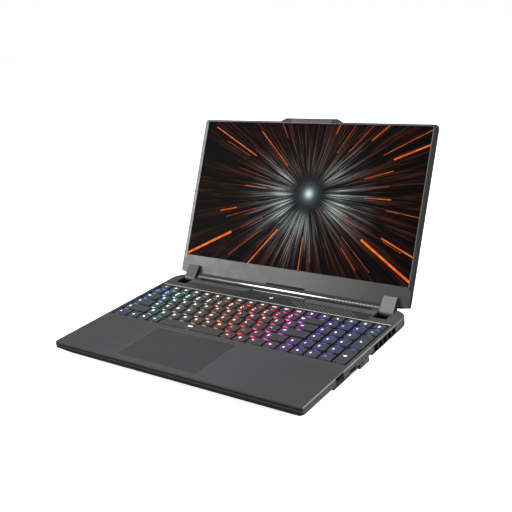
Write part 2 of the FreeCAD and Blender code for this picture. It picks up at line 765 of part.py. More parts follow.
def touchpad_bracket():
    left, right = dim.pad_x0 - 6, dim.pad_x1 + 6
    front, rear = dim.pad_y0 - 4, dim.pad_y1 + 5
    tray = slabs("touchpad_bracket",
                 (14.6, 15.4, [rect(left, right, front, rear)]),
                 (15.4, deck_under, [rect(left, left + 4, front, rear),
                                     rect(right - 4, right, front, rear)]))
    tray.cut(14.4, 15.6, polys=[rect(-62, 18, -98, -54)])
    node(tray)


# =================================================================== internals
def motherboard():
    board = slabs("motherboard", (9.6, 10.8, [symmetric([
        (126, -34), (126, -62), (158, -62), (158, 2), (74, 2), (74, 74)])]))
    board.cut(9, 11, circles=[(side * x, y, 2.2) for x, y in ((68, 68), (152, -56), (100, -28))
                              for side in (-1, 1)])
    node(board)


def chips():
    node(slabs("processor_and_graphics_chips",
               (8.0, 9.6, [rect(-50, -14, 28, 54), rect(12, 46, 25, 57)])))


def heat_pipes():
    """Pipe along the rear with two branches, and the plate above them."""
    node(slabs(
        "heat_pipes_and_cold_plate",
        (5.0, 6.8, [[(-134, 77.2), (-40, 77.2), (-40, 30), (-24, 30), (-24, 77.2), (20, 77.2),
                     (20, 30), (36, 30), (36, 77.2), (134, 77.2), (134, 83.6), (-134, 83.6)]]),
        (6.8, 8.0, [rect(-54, 50, 24, 59)])))


def fin_stacks():
    front, rear, count = 84, 113, 15
    plates = both_sides(66, 136, front, rear)
    starts = [66 + 5.0 * i for i in range(count)]
    starts[-1] -= 0.25      # the outermost fin sits slightly further in
    fins = []
    for x in starts:
        fins += both_sides(x, x + 0.5, front, rear)
    node(slabs("exhaust_fin_stacks", (5.0, 5.6, plates), (5.6, 11.4, fins), (11.4, 12.0, plates)))


def at_fan(obj, side):
    bind(obj, "Placement.Base.x", dim.fan_x * side)
    bind(obj, "Placement.Base.y", dim.fan_y)


def fan_housing(name, side):
    """Square box with a round chamber, rear outlet, intake hole and shaft."""
    half, floor, ceiling = dim.fan_half, dim.fan_z0 + 0.8, dim.fan_z1 - 0.8
    house = Piece("fan_housing_" + name)
    house.pad(dim.fan_z0, dim.fan_z1, polys=[rect(-half, half, -half, half)])
    house.cut(floor, ceiling, circles=[(0.0, 0.0, dim.rotor_radius + 3)])
    house.cut(floor, ceiling, polys=[rect(-26, 26, 10, half + 1)])
    house.cut(dim.fan_z0 - 1, dim.fan_z0 + 1, circles=[(0.0, 0.0, 21.0)])
    house.pad(6.0, ceiling, circles=[(0.0, 0.0, dim.shaft_radius)])
    at_fan(node(house), side)


def fan_rotor(name, side):
    """Hub with 23 bent blades, bored for the shaft."""
    thin = 0.4              # half thickness of a blade
    middle, tip = -2.6 * side, -7.4 * side
    rotor = Piece("fan_rotor_" + name)
    rotor.pad(6.1, 10.4, circles=[(0.0, 0.0, dim.hub_radius)])
    blade = rotor.pad(6.5, 10.0, polys=[[
        (11.0, -thin), (20, middle - thin), (30.2, tip - thin),
        (30.2, tip + thin), (20, middle + thin), (11.0, thin)]])
    rotor.polar(blade, 23)
    rotor.cut(6.0, 10.6, circles=[(0.0, 0.0, dim.shaft_radius + dim.shaft_play)])
    at_fan(node(rotor), side)


def battery_pack():
    """Four cells on a base sheet, with a lower strip along the rear."""
    starts = [-118 + 59.4 * i for i in range(4)]
    node(slabs("battery_pack",
               (4.0, 4.8, [rect(-120, 120, -104, -37)]),
               (4.8, 10.4, [rect(x, x + 57.6, -102, -41) for x in starts]),
               (4.8, 9.4, [rect(-118, 118, -41, -37)])))


def plug_in_cards():
    """Memory, drive and wireless card: boards with chips on the underside."""
    node(slabs("memory_modules",
               (8.4, 9.2, both_sides(3, 72.6, -9, 21)),
               (7.4, 8.4, [rect(x, x + 11, -4, 6)
                           for x in (-69, -55, -41, -27, 7, 21, 35, 49)])))
    node(slabs("solid_state_drive",
               (8.2, 9.0, [rect(-74, 6, -33, -11)]),
               (7.0, 8.2, [rect(-66, -50, -30, -14), rect(-44, -28, -30, -14),
                           rect(-20, -8, -28, -16)])))
    node(slabs("wireless_card",
               (8.2, 9.0, [rect(76, 106, -33, -11)]),
               (7.0, 8.2, [rect(80, 96, -30, -14)])))


def speaker(name, side):
    """Rounded box with a disc in a round recess."""
    x, y = side * 146.0, -86.0
    body = Piece("speaker_" + name)
    body.pad(4.2, 10.2, rounds=[(*span(side, 128, 164), -105.0, -66.0, 4.0, 4.0)])
    body.cut(8.8, 10.4, circles=[(x, y, 12.0)])
    body.pad(8.8, 9.6, circles=[(x, y, 8.0)])
    node(body)


# ======================================================================= ports
def network_port():
    """Network socket and its spring jaw."""
    y, low, high = dim.network_y, 9.1, 17.2
    socket = cut(box(162, side_x - 1.0, *about(y, 7.8), low, high),
                 [box(165, side_x, *about(y, 6.0), 10.6, 16.6),
                  box(side_x - 3.2, side_x, *about(y, 6.6), low - 1, 14.4)])
    starts = [y - 3.9 + 1.02 * i for i in range(8)]
    pins = [box(165, 175.5, start, start + 0.35, 15.9, 16.3) for start in starts]
    node(fuse([socket] + pins, "network_port"))
    jaw = fuse([box(side_x - 2.1, side_x - 1.2, *about(y, 6.3), 10.3, 13.9),
                rod("Y", side_x - 1.65, y - 6.5, 10.4, 0.5, 13.0)])
    notch = box(side_x - 3, side_x, *about(y, 2.0), 12.6, 15)
    node(cut(jaw, [notch], "network_port_jaw"))


def usb_a_port(name, side):
    y = dim.usb_a_y
    shell = box(*span(side, side_x - 14.0, side_x - 0.3), *about(y, 7.1), 9.0, 14.0)
    mouth = box(*span(side, side_x - 12.5, side_x + 1), *about(y, 6.6), 9.4, 13.6)
    tongue = box(*span(side, side_x - 13.0, side_x - 2.0), *about(y, 5.6), 11.9, 13.1)
    node(fuse([cut(shell, [mouth]), tongue], "usb_a_port_" + name))


def usb_c_port():
    y, z = dim.usb_c_y, 10.5
    port = Piece("usb_c_port", ACROSS)
    port.pad(side_x - 10.0, side_x - 0.3, rounds=[(*about(y, 4.55), *about(z, 1.7), 1.65, 1.65)])
    port.cut(side_x - 8.8, side_x + 0.5, rounds=[(*about(y, 4.25), *about(z, 1.4), 1.35, 1.35)])
    port.pad(side_x - 9.5, side_x - 2.0, polys=[rect(*about(y, 3.2), *about(z, 0.35))])
    node(port)


def video_port():
    y = dim.video_y

    def outline(low_half, half, low, shoulder, high):
        return [(y - low_half, low), (y + low_half, low), (y + half, shoulder),
                (y + half, high), (y - half, high), (y - half, shoulder)]

    port = Piece("video_port", ACROSS)
    port.pad(-side_x + 0.3, -side_x + 12.0, polys=[outline(5.6, 7.5, 6.4, 8.4, 12.2)])
    port.cut(-side_x - 0.5, -side_x + 10.8, polys=[outline(5.3, 7.1, 6.8, 8.6, 11.8)])
    port.pad(-side_x + 2.0, -side_x + 11.5, polys=[rect(*about(y, 5.6), 9.0, 10.0)])
    node(port)


def audio_jack():
    y, z = dim.jack_y, dim.jack_z
    jack = Piece("audio_jack", ACROSS)
    jack.pad(-side_x + 2.1, -side_x + 15.0, polys=[rect(*about(y, 3.6), z - 2.5, z + 3.3)])
    jack.pad(-side_x + 0.2, -side_x + 2.1, circles=[(y, z, JACK_HOLE - 0.1)])
    jack.cut(-side_x - 1, -side_x + 14.0, circles=[(y, z, dim.jack_radius)])
    node(jack)


def power_inlet():
    y, z = dim.inlet_y, dim.inlet_z
    inlet = Piece("power_inlet", ACROSS)
    inlet.pad(-side_x + 2.1, -side_x + 9.5, polys=[rect(*about(y, 4.5), z - 4.4, z + 3.5)])
    inlet.pad(-side_x + 0.2, -side_x + 2.1, circles=[(y, z, INLET_HOLE - 0.1)])
    inlet.cut(-side_x - 1, -side_x + 8.6, circles=[(y, z, dim.inlet_radius)])
    inlet.pad(-side_x + 1.2, -side_x + 9.0, circles=[(y, z, 0.5)])     # centre pin
    node(inlet)


# ====================================================================== hinges
def side_rod(side, x0, x1, y, z, radius):
    """Rod along X over the range x0..x1, mirrored for the left side."""
    return rod("X", span(side, x0, x1)[0], y, z, radius, x1 - x0)


def hinge_base_bracket(name, side):
    pin = side_rod(side, 136.0, 160.0, dim.hinge_y, dim.hinge_z, dim.pin_radius)
    node(fuse([box(*span(side, 116, 141.5), 97, 116, 12.6, 14.2),
               box(*span(side, 136, 141.6), 105.3, 112.5, 13.0, 18.2), pin],
              "hinge_base_bracket_" + name))


def hinge_lid_bracket(name, side):
    """Sleeve on the pin, an arm with a step, and a plate inside the lid."""
    arm = span(side, 147, 158)
    bracket = fuse([side_rod(side, 147.0, 158.0, 0.0, 0.0, dim.sleeve_radius),
                    box(*arm, -17, -0.6, 1.6, 2.9),
                    box(*arm, -17, -15.4, 1.6, 6.6),
                    box(*span(side, 128, 172), -28.5, -15.4, 5.4, 6.6)])
    bore = side_rod(side, 140.0, 165.0, 0.0, 0.0, dim.pin_radius + dim.sleeve_play)
    on_lid(node(cut(bracket, [bore], "hinge_lid_bracket_" + name)))


def hinge_cap(name, side):
    """Hollow barrel with a wedge that runs up to the lid face."""
    cap = Piece("hinge_cap_" + name, ACROSS)
    x0, x1 = span(side, dim.cap_x0, dim.cap_x0 + dim.cap_width)
    radius, offset, face_z, skin = dim.cap_radius, dim.lid_offset, dim.face_z, 1.2
    cap.pad(x0, x1, circles=[(0.0, 0.0, radius)])
    cap.pad(x0, x1, polys=[[
        (-offset - 10.2, face_z), (-offset - 10.2, 0.27), (-1.67, -5.53), (0.0, 0.0),
        (0.0, radius), (-offset + 0.1, radius), (-offset + 0.1, face_z)]])
    cap.cut(x0 + skin, x1 - skin, circles=[(0.0, 0.0, radius - skin)])
    cap.cut(x0 + skin, x1 - skin, polys=[[
        (-offset - 9.0, face_z + 0.5), (-offset - 9.0, 1.1), (-1.3, -4.3), (0.0, 0.0),
        (0.0, radius - skin), (-offset + 0.6, radius - skin), (-offset + 0.6, face_z + 0.5)]])
    # pin hole in the end towards the middle
    cap.cut(*span(side, dim.cap_x0 - 1, dim.cap_x0 + 1.5),
            circles=[(0.0, 0.0, dim.pin_radius + PIN_GAP)])
    on_lid(node(cap))


# ========================================================================= lid
lid_side = dim.lid_width / 2
lid_near = -dim.lid_offset                   # edge beside the hinge
lid_far = lid_near - dim.lid_length          # edge away from the hinge
mid_z = dim.face_z + dim.bezel_thick         # bezel meets back cover
back_z = dim.face_z + dim.lid_thick
LID_OUTLINE = (-lid_side, lid_side, lid_far, lid_near, 4.0, 3.0)
view_half = dim.view_width / 2
view_near = lid_near - dim.chin
view_far = view_near - dim.view_length
CAMERA = (-2.0, lid_far - 1.6)


def camera_bump(overlap):
    """Bump on the far edge, reaching back over the lid by the overlap."""
    return symmetric([(dim.bump_crest_half, lid_far - dim.bump_height),
                      (dim.bump_foot_half, lid_far), (dim.bump_foot_half, lid_far + overlap)])


def lid_back_cover():
    wall, inside_z = dim.lid_wall, back_z - dim.lid_skin
    shell = Piece("lid_back_cover")
    shell.pad(mid_z, back_z, rounds=[LID_OUTLINE])
    shell.chamfer_level(1.1, back_z)
    shell.pad(mid_z, back_z - 0.6, polys=[camera_bump(3)])
    # dark lips under the chin, outside the hinge caps
    lip = [(163.6, lid_near - 1.5), (177.4, lid_near - 3.5),
           (177.4, lid_near + 0.2), (163.6, lid_near + 2.4)]
    shell.pad(mid_z, back_z - 1.2, polys=[lip, mirror(lip)])
    shell.cut(mid_z - 0.5, inside_z, rounds=[(-lid_side + wall, lid_side - wall,
                                              lid_far + 0.9, lid_near - wall, 2.5, 2.0)])
    shell.cut(mid_z - 0.5, inside_z - 0.4, polys=[symmetric([
        (dim.bump_crest_half - 1.4, lid_far - dim.bump_height + 1.0),
        (dim.bump_foot_half - 3, lid_far + 4)])])
    on_lid(node(shell))


def screen_bezel():
    """Frame with the view window, two hinge arm slots and the camera hole."""
    bezel = Piece("screen_bezel")
    low, high = dim.face_z - 1, mid_z + 1
    bezel.pad(dim.face_z, mid_z, rounds=[LID_OUTLINE])
    bezel.pad(dim.face_z, mid_z, polys=[camera_bump(1.5)])
    bezel.cut(low, high, polys=[rect(-view_half, view_half, view_far, view_near)])
    bezel.cut(low, high, polys=both_sides(146.4, 158.6, lid_near - 8.6, lid_near - 5.8))
    bezel.cut(low, high, circles=[(*CAMERA, 1.7)])
    on_lid(node(bezel))


def display_panel():
    """Panel behind the bezel, with the screen raised into its window."""
    edge, gap = view_half + 1.6, 0.1
    on_lid(node(slabs(
        "display_panel",
        (mid_z, mid_z + 2.4, [rect(-edge, edge, view_far - 0.9, view_near + 1.6)]),
        (mid_z - 0.75, mid_z, [rect(-view_half + gap, view_half - gap,
                                    view_far + gap, view_near - gap)]))))


def webcam_module():
    cam = slabs("webcam_module",
                (mid_z, mid_z + 1.8, [rect(-32, 32, lid_far - 3.0, lid_far - 0.1)]))
    cam.pad(mid_z - 1.0, mid_z, circles=[(*CAMERA, 1.6)])
    on_lid(node(cam))


def lid_bumper():
    near, far = lid_near - 0.2, lid_near - 2.6
    on_lid(node(slabs("lid_bumper", (dim.face_z - 0.55, dim.face_z, [
        [(-30, near), (-28, far), (30.5, far), (32.5, near)]]))))


# ======================================================================= build
for build in (top_case, bottom_cover, bottom_screws, rubber_feet, control_panel_strip,
              ribbed_strips, rear_light_bar, power_button, keyboard_plate, keys, touchpad,
              touchpad_bracket, motherboard, chips, heat_pipes, fin_stacks):
    build()
for name, side in SIDES:
    fan_housing(name, side)
    fan_rotor(name, side)
battery_pack()
plug_in_cards()
for name, side in SIDES:
    speaker(name, side)
network_port()
usb_a_port("right", 1)
usb_a_port("left", -1)
for build in (usb_c_port, video_port, audio_jack, power_inlet):
    build()
for name, side in SIDES:
    hinge_base_bracket(name, side)
    hinge_lid_bracket(name, side)
    hinge_cap(name, side)
for build in (lid_back_cover, screen_bezel, display_panel, webcam_module, lid_bumper):
    build()
doc.recompute()

# ============================================================== check and export
problems = ["%s (%s): %s" % (obj.Name, obj.TypeId, obj.State) for obj in doc.Objects
            if "Invalid" in obj.State or "Error" in obj.State]
if len({obj.Label for obj in NODES}) != len(NODES):
    problems.append("labels repeat")
for obj in NODES:
    if obj.Shape.isNull() or not obj.Shape.isValid() or not obj.Shape.Solids:
        problems.append("bad shape: " + obj.Label)
if problems:
    raise RuntimeError("\n".join(problems))
os.makedirs("parts", exist_ok=True)
for obj in NODES:
    obj.Shape.exportStep("parts/%s.step" % obj.Label)
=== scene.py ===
"""Looks of an open laptop with a lit keyboard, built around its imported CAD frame.

X runs from left to right, Y from the front to the rear and Z up from the floor. The lid leans
back from its hinge line behind the keyboard. Shapes and textures are given in millimetres.
"""
import json
import math
import random

import bpy
import bmesh
import numpy as np
from mathutils import Matrix, Vector

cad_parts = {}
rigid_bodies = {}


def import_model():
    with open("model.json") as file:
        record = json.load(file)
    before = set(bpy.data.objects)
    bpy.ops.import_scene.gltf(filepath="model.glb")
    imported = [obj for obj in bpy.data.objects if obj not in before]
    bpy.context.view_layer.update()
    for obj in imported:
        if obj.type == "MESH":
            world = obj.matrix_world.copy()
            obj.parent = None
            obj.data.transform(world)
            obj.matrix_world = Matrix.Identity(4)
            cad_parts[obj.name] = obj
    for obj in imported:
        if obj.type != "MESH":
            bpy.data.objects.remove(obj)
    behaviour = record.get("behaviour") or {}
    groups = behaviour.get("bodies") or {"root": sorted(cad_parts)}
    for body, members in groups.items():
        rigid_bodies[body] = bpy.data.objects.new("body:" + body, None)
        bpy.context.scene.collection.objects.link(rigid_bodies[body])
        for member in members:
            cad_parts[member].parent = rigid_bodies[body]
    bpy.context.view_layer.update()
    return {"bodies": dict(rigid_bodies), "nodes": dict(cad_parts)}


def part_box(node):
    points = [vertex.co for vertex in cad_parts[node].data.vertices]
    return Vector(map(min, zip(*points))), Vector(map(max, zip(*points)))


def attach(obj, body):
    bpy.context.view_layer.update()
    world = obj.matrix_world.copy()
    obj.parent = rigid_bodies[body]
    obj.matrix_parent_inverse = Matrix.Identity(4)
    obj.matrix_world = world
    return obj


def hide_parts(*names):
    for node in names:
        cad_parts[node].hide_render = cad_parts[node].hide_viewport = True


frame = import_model()
nodes = frame["nodes"]
scene = bpy.context.scene
MM = 0.001


def mm_box(name):
    """x0, x1, y0, y1, z0, z1 of a CAD node."""
    low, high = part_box(name)
    return [v * 1000 for v in (low.x, high.x, low.y, high.y, low.z, high.z)]


PAD = mm_box("touchpad")[:4]
STRIP_REAR = mm_box("control_panel_strip")[3]
WELL_HALF, WELL_REAR = 174.2, 72.9       # keyboard opening: half width and rear edge
LID_Y, LID_Z = 116.12, 22.63             # bottom edge of the lid's front face
LID_BACK, LID_RISE = 0.4462, 0.8949      # how far one mm along the lid goes back and up
DISPLAY_LOW = 24.0                       # start of the display along the lid
DISPLAY_HALF_X, DISPLAY_HALF = 172.1, 96.8
LEGEND_SINK, LEGEND_THICK = 0.16, 0.17   # below the cap's highest point, and own thickness


def lin(*rgb):
    """sRGB 0..255 to linear."""
    out = []
    for c in rgb:
        c = c / 255.0
        out.append(c / 12.92 if c <= 0.04045 else ((c + 0.055) / 1.055) ** 2.4)
    return tuple(out)


# ------------------------------------------------------------- shader algebra
def math_op(kind):
    """A Value method that adds one math node."""
    return lambda self, *others: self.mat.op(kind, self, *others)


class Value:
    """A value inside a shader, with arithmetic."""

    def __init__(self, mat, socket):
        self.mat, self.socket = mat, socket

    __add__ = __radd__ = math_op("ADD")
    __sub__ = math_op("SUBTRACT")
    __mul__ = __rmul__ = math_op("MULTIPLY")
    __truediv__ = math_op("DIVIDE")
    __pow__ = math_op("POWER")
    abs = math_op("ABSOLUTE")
    max = math_op("MAXIMUM")
    sin = math_op("SINE")
    over = math_op("GREATER_THAN")
    under = math_op("LESS_THAN")
    near = math_op("COMPARE")            # centre, reach: 1 within reach of the centre

    def __rsub__(self, other):
        return self.mat.op("SUBTRACT", other, self)

    def __neg__(self):
        return self.mat.op("MULTIPLY", self, -1)

    def clip(self):
        return self.mat.op("ADD", self, 0, clamp=True)

    def gauss(self, centre, width):
        d = (self - centre) / width
        return self.mat.op("EXPONENT", -(d * d))

    def smooth(self, low, high, start=0, end=1):
        """Eases from start to end while the value goes from low to high."""
        node = self.mat.new("MapRange", interpolation_type="SMOOTHSTEP")
        self.mat.put(node.inputs["Value"], self)
        limits = (("From Min", low), ("From Max", high), ("To Min", start), ("To Max", end))
        for key, number in limits:
            node.inputs[key].default_value = number
        return Value(self.mat, node.outputs[0])

    def fade(self, low, high):
        """Eases from 1 to 0 while the value goes from low to high."""
        return self.smooth(low, high, 1, 0)


class Shader:
    """A node material being written; pos, x, y and z are object coordinates in mm."""

    def __init__(self, name):
        self.material = bpy.data.materials.new(name)
        self.material.use_nodes = True
        self.tree = self.material.node_tree
        self.tree.nodes.clear()
        self.output = self.new("OutputMaterial")
        self.coords = self.new("TexCoord")
        self.pos = self.scale(Value(self, self.coords.outputs["Object"]), 1000)
        self.x, self.y, self.z = self.split(self.pos)

    def new(self, kind, **settings):
        node = self.tree.nodes.new("ShaderNode" + kind)
        for key, setting in settings.items():
            setattr(node, key, setting)
        return node

    def put(self, socket, v):
        """Links a Value to a socket, or sets a number or colour on it."""
        if isinstance(v, Value):
            self.tree.links.new(v.socket, socket)
            return
        if hasattr(socket.default_value, "__len__"):
            v = (tuple(v) + (1.0,))[:len(socket.default_value)]
        socket.default_value = v

    def op(self, kind, *values, clamp=False):
        node = self.new("Math", operation=kind, use_clamp=clamp)
        for i, v in enumerate(values):
            self.put(node.inputs[i], v)
        return Value(self, node.outputs[0])

    def scale(self, vector, factor):
        node = self.new("VectorMath", operation="SCALE")
        self.put(node.inputs[0], vector)
        self.put(node.inputs["Scale"], factor)
        return Value(self, node.outputs[0])

    def measure(self, kind, *vectors):
        """A number from vectors: their LENGTH or DOT_PRODUCT."""
        node = self.new("VectorMath", operation=kind)
        for i, v in enumerate(vectors):
            self.put(node.inputs[i], v)
        return Value(self, node.outputs["Value"])

    def vec(self, *parts):
        node = self.new("CombineXYZ")
        for i, v in enumerate(parts):
            self.put(node.inputs[i], v)
        return Value(self, node.outputs[0])

    def split(self, vector):
        node = self.new("SeparateXYZ")
        self.put(node.inputs[0], vector)
        return [Value(self, out) for out in node.outputs]

    def facing(self):
        """x, y and z of the surface's direction."""
        return self.split(Value(self, self.coords.outputs["Normal"]))

    def noise(self, scale=1, detail=2, rough=0.5, at=None):
        node = self.new("TexNoise", noise_dimensions="3D")
        self.put(node.inputs["Vector"], at or self.pos)
        node.inputs["Scale"].default_value = scale
        node.inputs["Detail"].default_value = detail
        node.inputs["Roughness"].default_value = rough
        return Value(self, node.outputs[0])

    def cells(self, scale, at=None):
        """Distance to the nearest of scattered points."""
        node = self.new("TexVoronoi", feature="F1")
        self.put(node.inputs["Vector"], at or self.pos)
        node.inputs["Scale"].default_value = scale
        return Value(self, node.outputs["Distance"])

    def mix(self, factor, first, second):
        node = self.new("Mix", data_type="RGBA", blend_type="MIX")
        self.put(node.inputs["Factor"], factor)
        self.put(node.inputs[6], first)
        self.put(node.inputs[7], second)
        return Value(self, node.outputs[2])

    def flat(self, colour):
        """A constant colour as a Value."""
        return self.mix(0, colour, colour)

    def paint(self, col, *layers):
        """Lays layers over a colour; each is a mask times its strength, and an sRGB colour."""
        for mask, rgb in layers:
            col = self.mix(mask, col, lin(*rgb))
        return col

    def ramp(self, factor, stops):
        """Colour ramp through (position, colour) stops."""
        node = self.new("ValToRGB")
        elements = node.color_ramp.elements
        while len(elements) > 1:
            elements.remove(elements[-1])
        elements[0].position, elements[0].color = stops[0][0], stops[0][1] + (1,)
        for place, colour in stops[1:]:
            elements.new(place).color = colour + (1,)
        self.put(node.inputs[0], factor)
        return Value(self, node.outputs[0])

    def edge(self, mm):
        """(1 near an outer or inner edge, normal rounded over that edge)."""
        bevel = self.new("Bevel", samples=4)
        bevel.inputs["Radius"].default_value = mm * MM
        rounded = Value(self, bevel.outputs[0])
        normal = Value(self, self.new("NewGeometry").outputs["Normal"])
        return (1 - self.measure("DOT_PRODUCT", rounded, normal)).smooth(0.02, 0.25), rounded

    def bump(self, height, mm, normal=None):
        node = self.new("Bump")
        node.inputs["Strength"].default_value = 1.0
        node.inputs["Distance"].default_value = mm * MM
        self.put(node.inputs["Height"], height)
        if normal is not None:
            self.put(node.inputs["Normal"], normal)
        return Value(self, node.outputs[0])

    def surface(self, col, rough, metal=0, normal=None, spec=0.5, coat=0, emit=None, power=1):
        """Closes the material with a principled surface and returns it."""
        shader = self.new("BsdfPrincipled")
        inputs = {"Base Color": col, "Roughness": rough, "Metallic": metal,
                  "Specular IOR Level": spec, "Coat Weight": coat, "Coat Roughness": 0.1}
        if normal is not None:
            inputs["Normal"] = normal
        if emit is not None:
            inputs["Emission Color"] = emit
            inputs["Emission Strength"] = power
        for key, v in inputs.items():
            self.put(shader.inputs[key], v)
        self.tree.links.new(shader.outputs[0], self.output.inputs["Surface"])
        return self.material


def finish(name, rgb, rough=0.5, metal=0, spec=0.5, grain=0.10, grain_mm=0.45, bump=0.010,
           tone=0.08, wear_and_highlight=0.25, wear_and_highlight_mm=0.3, coat=0, change=None, edges=True):
    """A moulded or coated surface: fine grain, soft tone changes, and lighter edges that are
    partly wear and partly a painted highlight.

    change(mat, col, rough) adds the markings of one piece.
    """
    mat = Shader(name)
    base = lin(*rgb)
    fine = mat.noise(1 / grain_mm, 2, 0.6)
    mid = mat.noise(1 / 11, 3, 0.55)
    big = mat.noise(1 / 70)
    shade = 1 + (fine - 0.5) * (2 * grain) + (mid - 0.5) * tone + (big - 0.5) * tone
    col = mat.scale(mat.flat(base), shade)
    rough = rough + (mid - 0.5) * 0.18 + (fine - 0.5) * 0.10
    normal = None
    if edges:
        # lighter edges: partly wear, partly a painted highlight along the rounded edge
        near_edge, normal = mat.edge(wear_and_highlight_mm)
        edge_wear_and_highlight = (near_edge * (0.45 + 1.1 * mid)).clip() * wear_and_highlight
        col = mat.mix(edge_wear_and_highlight, col, tuple(min(1.0, c * 2.6 + 0.05) for c in base))
        rough = rough - edge_wear_and_highlight * 0.12
    if change:
        col, rough = change(mat, col, rough)
    return mat.surface(col, rough.clip(), metal=metal, normal=mat.bump(fine, bump * 4, normal),
                       spec=spec, coat=coat)


# --------------------------------------------------------------- base shells
def pad_edge(mat):
    """Signed distance in mm to the touchpad's outline, negative inside."""
    x0, x1, y0, y1 = PAD
    beyond_x = (mat.x - (x0 + x1) / 2).abs() - (x1 - x0) / 2
    return beyond_x.max((mat.y - (y0 + y1) / 2).abs() - (y1 - y0) / 2)


def paint_vent_shade(mat, col):
    """Paints near-black shade on the faces inside the side vents."""
    inside = mat.x.abs().near(164, 14.7) * mat.y.near(50, 30) * mat.z.near(12.9, 4.3)
    # painted shade inside the vent slots
    return mat.paint(col, (inside, (5, 5, 5)))


def deck_marks(mat, col, rough):
    """Painted highlights on the cut edges round the touchpad window, behind the keys and on the
    right top fold; painted light and shade over the deck; a painted lighter right wall; painted
    shade on the front face, the rear ridge, the hinge pockets and inside the vents.
    """
    up = mat.z.over(18.6)
    # painted highlights on the cut edges round the touchpad window and behind the keys
    window = pad_edge(mat).near(0.5, 0.3) * up
    behind_keys = mat.y.near(WELL_REAR + 0.75, 0.75) * mat.x.abs().under(WELL_HALF) * up
    painted_edge_highlight = (window * 0.06).max(behind_keys * 0.9)
    # painted shade darker at the left and front right, and a painted sheen lighter at the rear
    # right
    sides = mat.x.smooth(-60, -125) + mat.x.smooth(60, 125) * mat.y.smooth(-20, -50)
    rear = mat.x.smooth(150, 172) * mat.y.smooth(60, 100)
    col = mat.scale(col, 1 - sides * 0.19 + rear * 0.12)
    # painted light: the right wall is painted lighter, and its top fold gets a painted highlight
    lit_right_wall = mat.x.over(178.6) * mat.z.under(18)
    right_fold_highlight = mat.x.over(178.05) * mat.z.over(18.05)
    # painted shade on the front face
    front = mat.y.under(-119.85)
    # painted shade on the rear ridge under the lid's bottom edge
    shaded_rear_ridge = mat.y.over(110.95) * mat.z.over(20.9)
    # painted shade in the hinge pockets
    shaded_hinge_pocket = mat.x.abs().near(153, 9.75) * mat.y.near(101.4, 16.4) * mat.z.under(18.2)
    col = mat.paint(
        col,
        (lit_right_wall * 0.8, (70, 70, 71)),
        (right_fold_highlight * mat.y.smooth(96, 20, 0.15, 0.42), (140, 140, 140)),
        (painted_edge_highlight, (182, 180, 179)),
        (front * 0.85, (32, 32, 33)),
        # painted highlight: one lighter line along the front edge's fold
        (front * mat.z.near(14.6, 0.55) * 0.6, (100, 100, 102)),
        (shaded_rear_ridge * 0.8, (20, 20, 21)),
        (shaded_hinge_pocket, (7, 7, 7)))
    return paint_vent_shade(mat, col), rough - painted_edge_highlight * 0.15


def strip_marks(mat, col, rough):
    """Darker middle, a pale line low down, and a painted white highlight on the rear lip between
    two notches of painted shade.
    """
    line = mat.z.under(18.93) * mat.z.over(18.4)
    middle = mat.x.smooth(-72, -40) * mat.x.fade(18, 44)
    # painted highlight on the rear lip; painted shade in the notches beside it
    lip_highlight = mat.y.over(STRIP_REAR - 0.9) * mat.x.abs().under(39.7)
    notch_shade = mat.x.abs().near(42, 1.2) * mat.y.over(STRIP_REAR - 4.5)
    col = mat.paint(
        col,
        (middle * 0.6, (28, 29, 29)),
        (mat.x.smooth(18, 40) * mat.y.under(92) * 0.65, (30, 29, 30)),
        (line * 0.9, (104, 100, 100)),
        (lip_highlight, (225, 225, 226)),
        (notch_shade * 0.8, (12, 12, 12)))
    return col, rough + line * 0.1


case_top = finish("case_top_dark_anodised", (61, 61, 63), rough=0.52, metal=0.15, spec=0.3,
                  grain=0.13, grain_mm=0.5, bump=0.012, wear_and_highlight=0.75, wear_and_highlight_mm=0.45,
                  change=deck_marks)
case_low = finish("case_bottom_moulded", (54, 54, 56), rough=0.55, spec=0.3, grain=0.16,
                  grain_mm=0.7, bump=0.02, wear_and_highlight=0.35, wear_and_highlight_mm=0.45,
                  change=lambda mat, col, rough: (paint_vent_shade(mat, col), rough))
black = finish("black_plastic", (24, 24, 25), rough=0.5, grain=0.15, wear_and_highlight=0.3)
port_plastic = finish("port_plastic", (13, 13, 14), rough=0.42, grain=0.12, wear_and_highlight=0.3)
rubber = finish("foot_rubber", (26, 26, 26), rough=0.85, grain=0.2, grain_mm=0.8, bump=0.03,
                wear_and_highlight=0.3, spec=0.25)
strip = finish("control_strip_satin", (50, 48, 50), rough=0.38, spec=0.35, grain=0.08, wear_and_highlight=0.5,
               wear_and_highlight_mm=0.3, change=strip_marks, bump=0.015, tone=0.05)
ribbed = finish("ribbed_plastic", (72, 72, 74), spec=0.35, rough=0.45, grain=0.10, wear_and_highlight=0.5,
                wear_and_highlight_mm=0.3)


def brushed(name, rgb, rough, axis=0, wear_and_highlight=0.2, tone=0.1):
    """Bare metal with fine lines along one axis."""
    mat = Shader(name)
    base = lin(*rgb)
    stretch = [9, 9, 9]
    stretch[axis] = 0.15
    along = mat.vec(mat.x * stretch[0], mat.y * stretch[1], mat.z * stretch[2])
    lines = mat.noise(0.6, 2, 0.6, at=along)
    mid = mat.noise(0.12, 3)
    near_edge, normal = mat.edge(0.25)
    col = mat.scale(mat.flat(base), 1 + (lines - 0.5) * 0.35 + (mid - 0.5) * tone)
    # lighter edges: partly wear, partly a painted highlight
    col = mat.mix(near_edge * wear_and_highlight, col, tuple(min(1, c * 1.6 + 0.1) for c in base))
    return mat.surface(col, (rough + (lines - 0.5) * 0.25 + (mid - 0.5) * 0.1).clip(),
                       metal=1, normal=mat.bump(lines, 0.012, normal))


